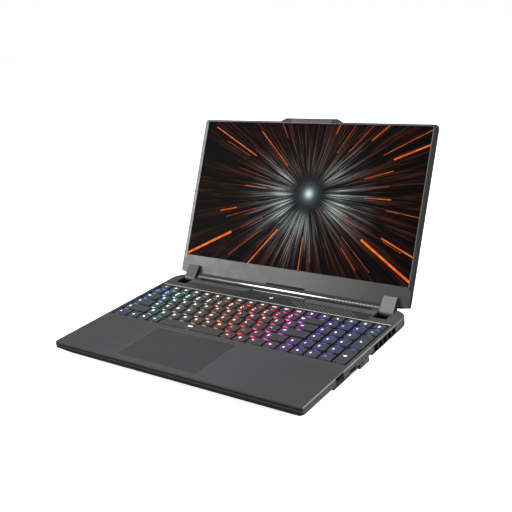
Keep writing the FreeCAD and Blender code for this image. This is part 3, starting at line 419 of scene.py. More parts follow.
steel = brushed("brushed_steel", (190, 190, 194), rough=0.32)
fin = brushed("fin_aluminium", (205, 206, 210), rough=0.35, axis=1)
copper = brushed("copper_pipe", (205, 128, 88), rough=0.28, wear_and_highlight=0.4, tone=0.3)
screw_black = brushed("screw_black", (70, 70, 72), rough=0.35, axis=2, wear_and_highlight=0.7)


def circuit_board():
    """Solder mask over copper tracks, with pads and vias."""
    mat = Shader("circuit_board")
    mask = lin(14, 38, 26)
    winding = (mat.x * 2.2 + mat.noise(0.05, 1) * 14).sin()
    track = (winding * (mat.y * 2.2).sin()).smooth(0, 0.12)
    via = mat.cells(0.33).under(0.16)
    pad = mat.cells(0.12, at=mat.vec(mat.x, mat.y, 0)).under(0.18) * (mat.x * 4.2).sin().over(0.1)
    fine = mat.noise(2.5)
    col = mat.mix(track * 0.5, mask, tuple(c * 2.1 + 0.004 for c in mask))
    col = mat.paint(col, (pad * 0.8, (190, 190, 180)), (via, (196, 160, 80)))
    col = mat.scale(col, 0.85 + fine * 0.3)
    return mat.surface(col, 0.35 + 0.2 * fine, metal=(via + pad).clip() * 0.9,
                       normal=mat.bump(track + fine * 0.2, 0.05), coat=0.2)


board = circuit_board()
chip = finish("chip_epoxy", (30, 30, 33), rough=0.4, grain=0.12, wear_and_highlight=0.4)
battery = finish("battery_wrap", (34, 34, 36), rough=0.42, grain=0.1, grain_mm=1.2, bump=0.03,
                 wear_and_highlight=0.4, wear_and_highlight_mm=0.5)


# ------------------------------------------------------------------- lid
def along_lid(mat):
    """Distance along the lid from its bottom edge, in mm."""
    return (mat.y - LID_Y) * LID_BACK + (mat.z - LID_Z) * LID_RISE


def cover_marks(mat, col, rough):
    """Brushed outer skin with a fine diagonal grain, dark at the right rim and with painted shade
    on the bottom rim.
    """
    along = along_lid(mat)
    diagonal = mat.vec((mat.x + along) * 0.1, (mat.x - along) * 5, 0)
    grain = mat.noise(1, 2, 0.6, at=diagonal)
    # dark right rim; painted shade on the bottom rim
    rim = mat.x.over(177.2).max(along.under(-0.6))
    col = mat.paint(mat.scale(col, 0.86 + grain * 0.28), (rim * 0.9, (14, 14, 15)))
    return col, rough + (grain - 0.5) * 0.12


def bezel_marks(mat, col, rough):
    """Darker narrow margins on the right and top, a painted highlight on the left margin, a
    painted reflection on the band below the display, and a thin pale line round the display.
    """
    along = along_lid(mat)
    right = mat.x.over(173.1) * along.over(20)
    left = mat.x.under(-172) * along.over(20)
    top = along.over(217.5)
    webcam = top * mat.x.abs().under(31)
    # painted reflection on the band below the display: lighter in the middle and at the left,
    # darker at the right
    low = along.under(24)
    col = mat.scale(col, 1 + low * (mat.x.gauss(20, 55) * 0.24 + mat.x.smooth(-60, -150) * 0.10
                                    - mat.x.smooth(85, 150) * 0.22))
    beyond = (mat.x.abs() - DISPLAY_HALF_X).max(
        (along - (DISPLAY_LOW + DISPLAY_HALF)).abs() - DISPLAY_HALF)
    line = beyond.near(0.55, 0.45) * along.over(24.3) * mat.x.over(-171)
    col = mat.paint(
        col,
        (right * 0.9, (22, 22, 23)),
        ((top - webcam).clip() * 0.85, (24, 24, 25)),
        # painted highlight on the left margin
        (left * 0.35, (112, 112, 114)),
        (line * 0.35, (128, 128, 130)),
        (mat.x.over(177) * 0.9, (12, 12, 13)))
    return col, rough


def cap_marks(mat, col, rough):
    """Painted light and shade: the left cap is painted darker than the right one, and faces
    turned to the right get painted shade.
    """
    shaded_right_side = mat.facing()[0].smooth(0.55, 0.85)
    col = mat.scale(col, mat.x.smooth(-150, 150, 0.46, 1.02))
    return mat.paint(col, (shaded_right_side * 0.92, (10, 10, 11))), rough


lid_cover = finish("lid_cover_anodised", (44, 44, 47), rough=0.44, metal=0.4, grain=0.07,
                   wear_and_highlight=0.75, wear_and_highlight_mm=0.4, change=cover_marks)
bezel = finish("bezel_satin", (66, 66, 67), rough=0.40, metal=0.45, grain=0.07, grain_mm=0.5,
               bump=0.006, wear_and_highlight=0.6, wear_and_highlight_mm=0.35, tone=0.04, change=bezel_marks)
hinge_cap = finish("hinge_cap_satin", (104, 104, 106), rough=0.42, metal=0.4, grain=0.07,
                   wear_and_highlight=0.55, wear_and_highlight_mm=0.4, tone=0.04, change=cap_marks)

# light trails of the wallpaper: angle in degrees, from, to, width in mm, brightness
BROAD_TRAILS = [
    (-152, 130, 215, 3.2, 1.0), (-31, 100, 190, 2.8, 1.0), (-22.5, 122, 180, 1.6, 0.95),
    (24, 124, 190, 1.8, 0.95), (153.5, 104, 190, 1.4, 0.95), (-128, 64, 130, 1.5, 0.95),
]


def scattered_trails():
    """Rows like BROAD_TRAILS, one about every ten degrees; outer ones are wider."""
    dice = random.Random(29)
    rows = []
    for i in range(36):
        turn = 10.0 * i + dice.uniform(-4.6, 4.6)
        start = dice.uniform(52.0, 135.0)
        width = dice.choice((0.3, 0.35, 0.45, 0.6, 0.9)) * (0.6 + start / 130.0)
        end = start + dice.uniform(22.0, 75.0)
        rows.append((turn, start, end, width, dice.uniform(0.45, 0.95)))
    return rows


def trail_mask(mat, dx, dy):
    """Brightness of all light trails at an offset from the core."""
    flat = mat.vec(dx, dy, 0)
    total = None
    for turn, start, end, width, light in scattered_trails() + BROAD_TRAILS:
        c, s = math.cos(math.radians(turn)), math.sin(math.radians(turn))
        outward = mat.measure("DOT_PRODUCT", flat, (c, s, 0))
        across = mat.measure("DOT_PRODUCT", flat, (-s, c, 0))
        trail = outward.near((start + end) / 2, (end - start) / 2) * across.near(0, width / 2)
        trail = trail * light
        total = trail if total is None else total.max(trail)
    return total


def wallpaper():
    """Display with dim light trails spreading from a pale core."""
    mat = Shader("display_lit")
    x = mat.x
    height = along_lid(mat) - DISPLAY_LOW
    core_x, core_height = 14, 101
    dx, dy = x - core_x, height - core_height
    rad = mat.measure("LENGTH", mat.vec(dx, dy, 0)).max(0.5)
    ux, uy = dx / rad, dy / rad

    def rays(spread, depth, detail=1, rough=0.5):
        """Noise that varies with direction; a larger spread gives finer rays."""
        return mat.noise(1, detail, rough, at=mat.vec(ux * spread, uy * spread, depth))

    medium = rays(46, rad * 0.012, detail=3, rough=0.7)
    coarse = rays(15, rad * 0.006 + 3.1)
    thin = rays(120, rad * 0.02 + 8.7)
    streak = (medium * 0.5 + coarse * 0.2 + thin * 0.3).smooth(0.45, 0.59)
    dark = coarse.smooth(0.36, 0.5)
    lobe = rays(1.5, 6.3).smooth(0.42, 0.60)
    near = rad.fade(26, 104)
    glow = (rad.gauss(42, 16) + 0.20 * rad.gauss(68, 24)) * lobe * 0.72

    # brown ground with dark gaps and warm streaks, paler near the core
    ground = mat.mix(near, lin(25, 12, 8), lin(37, 29, 27))
    body = mat.mix(streak * dark, lin(7, 4, 4), ground)
    warm = mat.mix(near, lin(78, 37, 24), lin(104, 88, 84))
    col = mat.mix((streak * dark) ** 2.5 * 0.7, body, warm)
    # fine glints, then the pale glow round the core
    glint = thin.smooth(0.55, 0.72) * medium.smooth(0.45, 0.6)
    col = mat.mix(glint * (0.16 + 0.5 * near), col,
                  mat.mix(near, lin(126, 66, 48), lin(168, 160, 158)))
    col = mat.mix((glow * (0.06 + 1.2 * streak * dark)).clip(), col, lin(196, 208, 208))
    col = mat.mix((glow * glint * 1.4).clip(), col, (1, 1, 1))
    col = mat.scale(col, rad.smooth(70, 190, 1, 0.55))
    # a dark hollow round the core
    hollow = rad.fade(16, 34)
    col = mat.mix(hollow * 0.96, col, mat.mix(rad.gauss(0, 22), lin(3, 7, 8), lin(14, 30, 33)))
    core = (rad.gauss(0, 5.5) + 0.12 * rad.gauss(0, 14)).clip()
    col = mat.mix(core, col, lin(214, 232, 236))
    # warm light trails along the same rays
    patches = mat.noise(0.12, 1, at=mat.vec(x, height, 3)).smooth(0.3, 0.7)
    hot = mat.mix(patches, lin(240, 92, 18), lin(255, 134, 40))
    col = mat.mix(trail_mask(mat, dx, dy), col, hot)

    # black border of the panel, then the fine matte front
    inside = (x.abs().under(DISPLAY_HALF_X)
              * (height - DISPLAY_HALF).abs().under(DISPLAY_HALF))
    grid_pitch = 0.9
    grid = 0.93 + 0.07 * (x * (2 * math.pi / grid_pitch)).sin()
    lit = mat.scale(col, inside * grid)
    fine = mat.noise(4, 1)
    return mat.surface(lin(2, 2, 2), 0.42 + fine * 0.1, normal=mat.bump(fine, 0.004), spec=0.02,
                       emit=lit)


def light_bar():
    """Diffuser: brightest in the middle, dimmer and dotted towards the ends."""
    mat = Shader("light_bar_diffuser")
    band_end, dot_pitch = 79, 5
    out = mat.x.abs()
    middle = out.fade(68, 80)
    dots = (mat.x * (2 * math.pi / dot_pitch)).sin().smooth(-0.9, 0.8, 0.25, 1)
    fine = mat.noise(0.9)
    # the bright band narrows to a point at each end
    half = (1 - (out / band_end) * (out / band_end)).max(0) * 0.62
    band = (half - (mat.z - 20.8).abs()).smooth(-0.05, 0.14) * out.under(band_end)
    thin = (mat.z - 20.75).abs().fade(0.16, 0.30)
    power = band * 1.7 + (1 - middle) * dots * thin * out.smooth(80, 142, 0.9, 0.5)
    return mat.surface(mat.mix(band, lin(66, 67, 69), lin(215, 219, 222)), 0.35 + 0.2 * fine,
                       normal=mat.bump(fine, 0.02), spec=0.4,
                       emit=mat.mix(fine, (0.90, 0.96, 1), (1, 1, 1)), power=power)


# -------------------------------------------------------- keyboard and touchpad
# key light along the keyboard: x in mm, then sRGB colour
WAVE = [
    (-174, 40, 140, 255), (-160, 44, 165, 255), (-145, 80, 210, 255), (-127, 125, 232, 228),
    (-108, 160, 232, 205), (-90, 222, 235, 208), (-72, 250, 224, 178), (-54, 255, 176, 112),
    (-30, 255, 118, 54), (-8, 255, 84, 44), (8, 255, 62, 62), (22, 255, 56, 100),
    (38, 255, 60, 140), (56, 255, 70, 195), (73, 220, 68, 255), (92, 150, 72, 255),
    (111, 122, 84, 255), (129, 104, 92, 255), (147, 88, 112, 255), (165, 74, 160, 255),
]
WAVE_HALF = 176


def rainbow(mat):
    """Colour of the key light, slanted a little and blurred by noise."""
    place = mat.x + (mat.y - 22) * 0.10 + (mat.noise(0.03, 1) - 0.5) * 16
    width = 2 * WAVE_HALF
    return mat.ramp(((place + WAVE_HALF) / width).clip(),
                    [((x + WAVE_HALF) / width, lin(*rgb)) for x, *rgb in WAVE])


def keycap_look():
    """Soft dark cap lit round its legend, on its front face and at its foot, with painted shade
    on its sides and a painted highlight on its shoulders.
    """
    mat = Shader("keycap_soft_touch")
    fine = mat.noise(2.6, 2, 0.6)
    mid = mat.noise(0.09)
    # mm from the legend's centre
    offset = Value(mat, mat.new("Attribute", attribute_name="kpos").outputs["Vector"])
    off_x, off_y, _ = mat.split(offset)
    _, face_y, face_z = mat.facing()
    up = face_z.smooth(0.80, 0.97)
    # painted highlight on the shoulders between top and sides
    shoulder_highlight = face_z.smooth(0.25, 0.6) * (1 - up)
    # painted shade: the sides are painted far darker than the top
    col = mat.scale(mat.mix(up, lin(9, 9, 10), lin(50, 51, 52)), 0.88 + fine * 0.14 + mid * 0.12)
    col = mat.paint(col, (shoulder_highlight * 0.22, (92, 92, 94)))
    distance = mat.measure("LENGTH", mat.vec(off_x / 1.25, off_y, 0))
    halo = (distance.gauss(0, 1.7) * 0.42 + distance.gauss(0, 3.6) * 0.07) * up
    # front faces glow below the legend, less round x = -84 and at the right
    quiet = 1 - 0.72 * mat.x.gauss(-84, 44)
    below = off_x.gauss(0, 2.7) * 3.1 + off_x.gauss(0, 7) * 0.4
    front = face_y.smooth(-0.35, -0.8) * mat.z.fade(15.6, 18.2) * below
    front = front * quiet * mat.x.smooth(92, 112, 1, 0.55)
    skirt = mat.z.fade(15.6, 17) * (1 - up) * 0.05
    return mat.surface(col, 0.52 + (fine - 0.5) * 0.16, normal=mat.bump(fine, 0.02), spec=0.3,
                       emit=rainbow(mat), power=halo + front + skirt)


def legend_look():
    """Lit legend, paler than its key light."""
    mat = Shader("legend_lit")
    fine = mat.noise(1.5, 1)
    glow = mat.mix(mat.x.gauss(-90, 42) * 0.3 + 0.42, rainbow(mat), (1, 1, 1))
    return mat.surface(lin(230, 230, 232), 0.5, spec=0.3, emit=glow, power=2.3 + fine * 1.2)


def plate_look():
    """Dark plate under the keys with a faint key light."""
    mat = Shader("keyboard_plate_lit")
    fine = mat.noise(1.1)
    power = (0.008 + 0.02 * fine) * mat.x.abs().under(174.25)
    return mat.surface(mat.scale(lin(9, 9, 10), 0.7 + fine * 0.5), 0.55 + fine * 0.15,
                       normal=mat.bump(fine, 0.02), spec=0.2, emit=rainbow(mat), power=power)


def touchpad_look():
    """Fine matte pad with a painted highlight on its slightly lighter rim."""
    mat = Shader("touchpad_etched")
    fine = mat.noise(5, 2, 0.65)
    mid = mat.noise(0.05, 3)
    # painted highlight on the rim
    rim = pad_edge(mat).over(-0.55)
    col = mat.scale(lin(48, 48, 50), 0.93 + fine * 0.10 + mid * 0.04)
    col = mat.paint(col, (rim * 0.10, (96, 96, 98)))
    return mat.surface(col, 0.44 + (mid - 0.5) * 0.12 + (fine - 0.5) * 0.06, metal=0.1,
                       normal=mat.bump(fine, 0.006), spec=0.3)


screen, rear_light = wallpaper(), light_bar()
key, legend, plate, touchpad = keycap_look(), legend_look(), plate_look(), touchpad_look()

# material and the CAD nodes that wear it; all other nodes are keys
LOOKS = [
    (case_top, "top_case"),
    (case_low, "bottom_cover"),
    (screw_black, "bottom_cover_screws"),
    (rubber, "rubber_feet lid_bumper"),
    (strip, "control_panel_strip power_button"),
    (ribbed, "ribbed_strips"),
    (rear_light, "rear_light_bar"),
    (plate, "keyboard_plate"),
    (touchpad, "touchpad"),
    (steel, "touchpad_bracket usb_a_port_right usb_a_port_left usb_c_port video_port "
            "hinge_base_bracket_left hinge_base_bracket_right hinge_lid_bracket_left "
            "hinge_lid_bracket_right"),
    (board, "motherboard memory_modules solid_state_drive wireless_card"),
    (chip, "processor_and_graphics_chips"),
    (copper, "heat_pipes_and_cold_plate"),
    (fin, "exhaust_fin_stacks"),
    (black, "fan_housing_left fan_housing_right fan_rotor_left fan_rotor_right speaker_left "
            "speaker_right audio_jack power_inlet webcam_module"),
    (battery, "battery_pack"),
    (port_plastic, "network_port network_port_jaw"),
    (hinge_cap, "hinge_cap_left hinge_cap_right"),
    (lid_cover, "lid_back_cover"),
    (bezel, "screen_bezel"),
    (screen, "display_panel"),
]
look_of = {name: material for material, names in LOOKS for name in names.split()}
for name, obj in nodes.items():
    obj.data.materials.clear()
    obj.data.materials.append(look_of.get(name, key))


# ------------------------------------------------------------- mesh building
def make(name, part, mats, body, index=None, smooth=None, kpos=None):
    """A mesh from a part in mm, riding on a body.

    index holds a material index per face, smooth the sharp-edge angle in degrees and kpos
    each point's place from its key's legend.
    """
    verts, faces = part
    mesh = bpy.data.meshes.new(name)
    mesh.from_pydata([tuple(c * MM for c in p) for p in verts], [], faces)
    for material in mats:
        mesh.materials.append(material)
    if index is not None:
        mesh.polygons.foreach_set("material_index", index)
    if smooth is not None:
        mesh.polygons.foreach_set("use_smooth", [True] * len(faces))
    if kpos is not None:
        attribute = mesh.attributes.new("kpos", "FLOAT_VECTOR", "POINT")
        attribute.data.foreach_set("vector", np.array(kpos, np.float32).ravel())
    mesh.update()
    if smooth is not None:
        mesh.set_sharp_from_angle(angle=math.radians(smooth))
    obj = bpy.data.objects.new(name, mesh)
    scene.collection.objects.link(obj)
    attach(obj, body)
    return obj


def join(parts):
    """One part from several; a part is (points, faces)."""
    verts, faces = [], []
    for part_verts, part_faces in parts:
        first = len(verts)
        verts += part_verts
        faces += [tuple(first + i for i in face) for face in part_faces]
    return verts, faces


def band(n, first):
    """Quads from the ring of n points starting at first to the next ring."""
    return [(first + i, first + (i + 1) % n, first + n + (i + 1) % n, first + n + i)
            for i in range(n)]


def loft(rings):
    """Joins equal rings with quads and closes both ends."""
    n = len(rings[0])
    last = (len(rings) - 1) * n
    faces = [quad for first in range(0, last, n) for quad in band(n, first)]
    faces += [tuple(reversed(range(n))), tuple(range(last, last + n))]
    return [p for ring in rings for p in ring], faces


def prism(outline, low, high):
    """A flat outline raised from one height to another."""
    n = len(outline)
    verts = [(x, y, z) for z in (low, high) for x, y in outline]
    return verts, [tuple(reversed(range(n))), tuple(range(n, 2 * n))] + band(n, 0)


def islands(name):
    """Boxes, in mm, of a CAD node's separate solids, from rear to front and left to right."""
    bm = bmesh.new()
    bm.from_mesh(nodes[name].data)
    bmesh.ops.remove_doubles(bm, verts=bm.verts[:], dist=1e-6)
    seen, boxes = set(), []
    for seed in bm.verts:
        if seed.index in seen:
            continue
        stack, points = [seed], []
        seen.add(seed.index)
        while stack:
            vert = stack.pop()
            points.append(vert.co[:])
            for edge in vert.link_edges:
                other = edge.other_vert(vert)
                if other.index not in seen:
                    seen.add(other.index)
                    stack.append(other)
        points = np.array(points) * 1000
        low, high = points.min(0), points.max(0)
        boxes.append((low[0], high[0], low[1], high[1], low[2], high[2]))
    bm.free()
    rows = sorted(set(round(box[3]) for box in boxes), reverse=True)
    return sorted(boxes, key=lambda box: (rows.index(round(box[3])), box[0]))


# ------------------------------------------------------------------ keycaps
def rounded_ring(x0, x1, y0, y1, inset, radius, z):
    """Rounded rectangle, counter-clockwise, as points at one height."""
    steps = 5
    x0, x1, y0, y1 = x0 + inset, x1 - inset, y0 + inset, y1 - inset
    r = max(0.05, min(radius, (x1 - x0) / 2 - 0.05, (y1 - y0) / 2 - 0.05))
    corners = ((x1 - r, y0 + r, -90), (x1 - r, y1 - r, 0), (x0 + r, y1 - r, 90),
               (x0 + r, y0 + r, 180))
    points = []
    for cx, cy, start in corners:
        for i in range(steps + 1):
            angle = math.radians(start + 90.0 * i / steps)
            points.append((cx + r * math.cos(angle), cy + r * math.sin(angle), z))
    return points


def keycap(box):
    """Hollow cap: tapered sides, rounded shoulders and a slightly dished top."""
    x0, x1, y0, y1, foot, top = box
    x0, x1, y0, y1 = x0 + 0.45, x1 - 0.45, y0 + 0.5, y1 - 0.35
    small = min(x1 - x0, y1 - y0) / 2
    # inset, corner radius, height; from the hollow inside, round the foot and up to the top
    stations = [
        (1.3, 0.6, top - 1.3), (0.9, 0.8, foot), (0.0, 1.3, foot), (0.2, 1.3, foot + 1.7),
        (0.42, 1.3, top - 0.50), (0.55, 1.28, top - 0.22), (0.78, 1.15, top - 0.06),
        (1.10, 0.95, top), (2.0, 0.9, top - 0.03), (min(3.6, small - 1.4), 0.9, top - 0.10),
    ]
    return loft([rounded_ring(x0, x1, y0, y1, *station) for station in stations])


# generic marks for the keys, drawn as flat shapes one unit high
def bar(x0, y0, x1, y1):
    return [(x0, y0), (x1, y0), (x1, y1), (x0, y1)]


def arrow(quarters):
    """Arrow turned counter-clockwise from pointing up."""
    outline = [(-0.12, -0.5), (0.12, -0.5), (0.12, 0.02), (0.42, 0.02), (0.0, 0.5),
               (-0.42, 0.02), (-0.12, 0.02)]
    c, s = math.cos(quarters * math.pi / 2), math.sin(quarters * math.pi / 2)
    return [(x * c - y * s, x * s + y * c) for x, y in outline]


def disc(radius, cy=0.0):
    turns = [2 * math.pi * i / 14 for i in range(14)]
    return [(radius * math.cos(turn), cy + radius * math.sin(turn)) for turn in turns]


def two_discs():
    return [[(x - 0.3, y) for x, y in disc(0.2)], [(x + 0.0 + 0.3, y) for x, y in disc(0.2)]]


SHAPES = {
    "@up": [arrow(0)], "@down": [arrow(2)], "@left": [arrow(1)], "@right": [arrow(-1)],
    "@shift": [arrow(0), bar(-0.3, -0.75, 0.3, -0.6)], "@caps": [arrow(0)],
    "@tab": [arrow(-1), bar(0.6, -0.42, 0.74, 0.42)],
    "@back": [arrow(1), bar(-0.72, -0.42, -0.58, 0.42)],
    "@enter": [arrow(1), bar(0.42, -0.12, 0.66, 0.5)],
    "@pause": [bar(-0.3, -0.4, -0.08, 0.4), bar(0.08, -0.4, 0.3, 0.4)],
    "@box": [bar(-0.4, -0.3, 0.4, 0.3)], "@dot": [disc(0.24)],
    "@two": two_discs(),
    "@menu": [bar(-0.4, 0.24, 0.4, 0.38), bar(-0.4, -0.07, 0.4, 0.07),
              bar(-0.4, -0.38, 0.4, -0.24)],
    "@line": [bar(-0.5, -0.09, 0.5, 0.09)],
    "@diamond": [[(0, -0.5), (0.42, 0), (0, 0.5), (-0.42, 0)]],
    "@home": [[(-0.4, -0.45), (0.4, -0.45), (0.4, 0.05), (0, 0.5), (-0.4, 0.05)]],
    "@pgup": [arrow(0), bar(-0.4, 0.58, 0.4, 0.7)],
    "@pgdn": [arrow(2), bar(-0.4, -0.7, 0.4, -0.58)],
    "@minus": [bar(-0.35, -0.08, 0.35, 0.08)],
    "@plus": [bar(-0.42, -0.08, -0.08, 0.08), bar(0.08, -0.08, 0.42, 0.08),
              bar(-0.08, -0.42, 0.08, 0.42)],
}


def letters(text):
    """Text as a part: centred, capitals one unit high, from height 0 to 1."""
    curve = bpy.data.curves.new("glyph", "FONT")
    curve.body, curve.size, curve.extrude, curve.resolution_u = text, 1.0, 0.5, 2
    curve.align_x, curve.align_y = "CENTER", "CENTER"
    obj = bpy.data.objects.new("glyph", curve)
    scene.collection.objects.link(obj)
    depsgraph = bpy.context.evaluated_depsgraph_get()
    mesh = bpy.data.meshes.new_from_object(obj.evaluated_get(depsgraph))
    bm = bmesh.new()
    bm.from_mesh(mesh)
    bmesh.ops.remove_doubles(bm, verts=bm.verts[:], dist=1e-5)
    points = np.array([v.co[:] for v in bm.verts])
    middle = (points.min(0) + points.max(0)) / 2
    points[:, :2] -= middle[:2]
    points[:, :2] /= 0.70                # the font's capital height
    points[:, 2] += 0.5
    bm.verts.index_update()
    faces = [tuple(v.index for v in face.verts) for face in bm.faces]
    bm.free()
    bpy.data.objects.remove(obj)
    bpy.data.meshes.remove(mesh)
    bpy.data.curves.remove(curve)
    return [tuple(p) for p in points], faces


glyphs = {}


def glyph(text):
    """A mark as a part, built once for each text."""
    if text not in glyphs:
        if text in SHAPES:
            glyphs[text] = join(prism(outline, 0, 1) for outline in SHAPES[text])
        else:
            glyphs[text] = letters(text)
    return glyphs[text]


def place_marks(marks, z):
    """One part from marks given as (text, x, y, height)."""
    parts = []
    for text, cx, cy, height in marks:
        verts, faces = glyph(text)
        parts.append(([(cx + x * height, cy + y * height, z + up * LEGEND_THICK)
                       for x, y, up in verts], faces))
    return join(parts)


def lay_out(node, text, box):
    """A key's marks, and the x, y its light is centred on."""
    x0, x1, y0, y1 = box[:4]
    cx, cy = (x0 + x1) / 2, (y0 + y1) / 2
    if isinstance(text, tuple):
        x = cx - 2.4
        return [(text[0], x, cy - 2.5, 2.6), (text[1], x, cy + 2.5, 2.2)], (x, cy)
    # x, y and height of a single mark
    if node == "function_row_keys":
        place = (cx, cy + 0.3, 2.6 if text[0] == "F" else 3.0)
    elif node == "space_bar":
        place = (cx, cy, 7.0)
    elif x1 - x0 > 20:
        place = (x0 + 6.0, cy + 0.8, 3.2)
    elif text.startswith("@"):
        place = (cx - 1.2, cy - 0.2, 2.9)
    else:
        place = (cx - 2.5, cy + 0.4, 3.05)
    return [(text, *place)], place[:2]


# marks of each node's keys, from rear to front and left to right; pairs are lower and upper
LEGENDS = {
    "function_row_keys": ["@dot"] + ["F%d" % i for i in range(1, 13)]
                         + ["@pause", "@box", "@diamond", "@home", "@pgup", "@pgdn"],
    "number_row_keys": list(zip(list("`1234567890") + ["@minus", "="],
                                list("~!@#$%^&*()_") + ["@plus"])),
    "backspace_key": ["@back"],
    "upper_letter_keys": ["@tab"] + list("QWERTYUIOP[]") + ["@two"],
    "home_letter_keys": ["@caps"] + list("ASDFGHJKL;'"),
    "enter_key": ["@enter"],
    "left_shift_key": ["@shift"],
    "lower_letter_keys": list("ZXCVBNM,./"),
    "right_shift_key": ["@shift"],
    "bottom_row_keys": ["@dot", "@box", "@diamond", "@two", "@two", "@menu", "@dot"],
    "space_bar": ["@line"],
    "arrow_keys": ["@up", "@left", "@down", "@right"],
    "number_pad_keys": ["@box", "/", "*", "@minus"] + list("7894561230."),
    "number_pad_plus_key": ["@plus"],
    "number_pad_enter_key": ["@enter"],
}


def key_group(node, texts):
    """All caps of one CAD node, with their legends."""
    parts, index, kpos = [], [], []
    for box, text in zip(islands(node), texts, strict=True):
        marks, (light_x, light_y) = lay_out(node, text, box)
        cap, mark = keycap(box), place_marks(marks, box[5] - LEGEND_SINK)
        parts += [cap, mark]
        index += [0] * len(cap[1]) + [1] * len(mark[1])
        kpos += [(x - light_x, y - light_y, 0.0) for x, y, _ in cap[0]]
        kpos += [(0.0, 0.0, 0.0)] * len(mark[0])
    bodies = frame["bodies"]
    body = node if node in bodies else next(
        name for name, obj in bodies.items() if nodes[node].parent is obj)
    caps = make(node + "_caps", join(parts), [key, legend], body, index, 50.0, kpos)
    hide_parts(node)


for node, texts in LEGENDS.items():
    key_group(node, texts)


# ------------------------------------------------------------- small pieces
def power_symbol():
    """An open ring with a bar, lit, on the power button."""
    x0, x1, y0, y1, _, top = mm_box("power_button")
    cx, cy = (x0 + x1) / 2, (y0 + y1) / 2
    low, high = top - 0.1, top + 0.02
    inner, outer = 1.65, 2.25
    turns = [math.radians(angle) for angle in range(40, 321, 14)]
    n = len(turns)
    verts, faces = [], []
    for radius, z in ((outer, low), (inner, low), (inner, high), (outer, high)):
        verts += [(cx + math.sin(t) * radius, cy + math.cos(t) * radius, z) for t in turns]
    for k in range(4):
        a, b = k * n, ((k + 1) % 4) * n
        faces += [(a + i, a + i + 1, b + i + 1, b + i) for i in range(n - 1)]
    faces += [(0, n, 2 * n, 3 * n), (4 * n - 1, 3 * n - 1, 2 * n - 1, n - 1)]
    upright = prism(bar(cx - 0.3, cy + 0.6, cx + 0.3, cy + 2.6), low, high)
    mat = Shader("power_symbol_lit")
    glow = mat.mix(mat.noise(1.5, 1), (0.86, 0.93, 1), (1, 1, 1))
    lit = mat.surface(lin(225, 228, 230), 0.4, spec=0.4, emit=glow, power=1.2)
    make("power_symbol", join([(verts, faces), upright]), [lit], "power_button")


def screw_ring(cx, cy, radius, z, hexagon=False):
    """Eighteen points round a circle or a hexagon."""
    points = []
    for i in range(18):
        a = 2 * math.pi * i / 18
        k = math.cos(math.pi / 6) / math.cos(a % (math.pi / 3) - math.pi / 6) if hexagon else 1.0
        points.append((cx + radius * k * math.cos(a), cy + radius * k * math.sin(a), z))
    return points


def screw_heads():
    """Screw heads with hexagon sockets, facing down, and their shanks."""
    screws = []
    for x0, x1, y0, y1, z0, z1 in islands("bottom_cover_screws"):
        # radius, height, hexagon; from the socket's floor, over the head and up the shank
        stations = [(1.25, z0 + 0.65, True), (1.35, z0, True), (2.3, z0), (2.6, z0 + 0.22),
                    (2.6, z0 + 0.9), (1.3, z0 + 0.9), (1.3, z1)]
        cx, cy = (x0 + x1) / 2, (y0 + y1) / 2
        screws.append(loft([screw_ring(cx, cy, *station) for station in stations]))
    heads = make("bottom_cover_screw_heads", join(screws), [screw_black], "base",
                 smooth=35.0)
    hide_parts("bottom_cover_screws")


def on_lid(x, along, out):
    """A point of the open lid: across, along from the bottom edge, and out of the front face."""
    return (x, LID_Y + LID_BACK * along - LID_RISE * out,
            LID_Z + LID_RISE * along + LID_BACK * out)


def webcam_lens():
    glass = finish("lens_glass", (9, 11, 18), rough=0.07, spec=0.6, grain=0.02, tone=0.02,
                   bump=0.0, coat=1.0, edges=False)
    cx, along = -2.0, 221.45
    turns = [2 * math.pi * i / 20 for i in range(20)]
    # radius, distance out of the lid's front face
    stations = [(1.5, -1.2), (1.5, -0.42), (1.25, -0.40), (1.15, -0.55), (0.95, -0.42),
                (0.55, -0.30), (0.15, -0.26)]
    rings = [[on_lid(cx + r * math.cos(t), along + r * math.sin(t), out) for t in turns]
             for r, out in stations]
    make("webcam_lens", loft(rings), [glass], "lid", smooth=50.0)


def lip_trim(name, side):
    """Short trim at the lid's bottom edge; side is 1 at the right and -1 at the left."""
    # section: along the lid, out of its front face
    section = [(0.6, -1.6), (0.6, -4.6), (-1.9, -4.6), (-2.4, -4.1), (-2.4, -2.1), (-1.9, -1.6)]
    middle = -3.1
    # distance from the lid's centre, size of the section there
    stations = ((162.1, 0.92), (162.35, 1.0), (163.7, 1.0))
    verts = [on_lid(side * x, along * k, middle + (out - middle) * k)
             for x, k in stations for along, out in section]
    n = len(section)
    faces = [tuple(range(n))[::-side], tuple(range(2 * n, 3 * n))[::side]]
    faces += [quad[::side] for first in (0, n) for quad in band(n, first)]
    make(name, (verts, faces), [lid_cover], "lid", smooth=35.0)


def soften(name, mm):
    """Rounds a CAD node's sharp edges a little, on top of its own mesh."""
    obj = nodes[name]
    weld = obj.modifiers.new("join", "WELD")
    weld.merge_threshold = 2e-6
    bevel = obj.modifiers.new("round", "BEVEL")
    bevel.width = mm * MM
    bevel.segments = 2
    bevel.limit_method = "ANGLE"
    bevel.angle_limit = math.radians(40)
    bevel.use_clamp_overlap = True


power_symbol()
screw_heads()
webcam_lens()
lip_trim("lid_lip_trim_right", 1)
lip_trim("lid_lip_trim_left", -1)
for name, mm in (("touchpad", 0.25), ("power_button", 0.3), ("rubber_feet", 0.4),
                 ("battery_pack", 0.6), ("memory_modules", 0.1),
                 ("processor_and_graphics_chips", 0.15), ("lid_bumper", 0.15)):
    soften(name, mm)

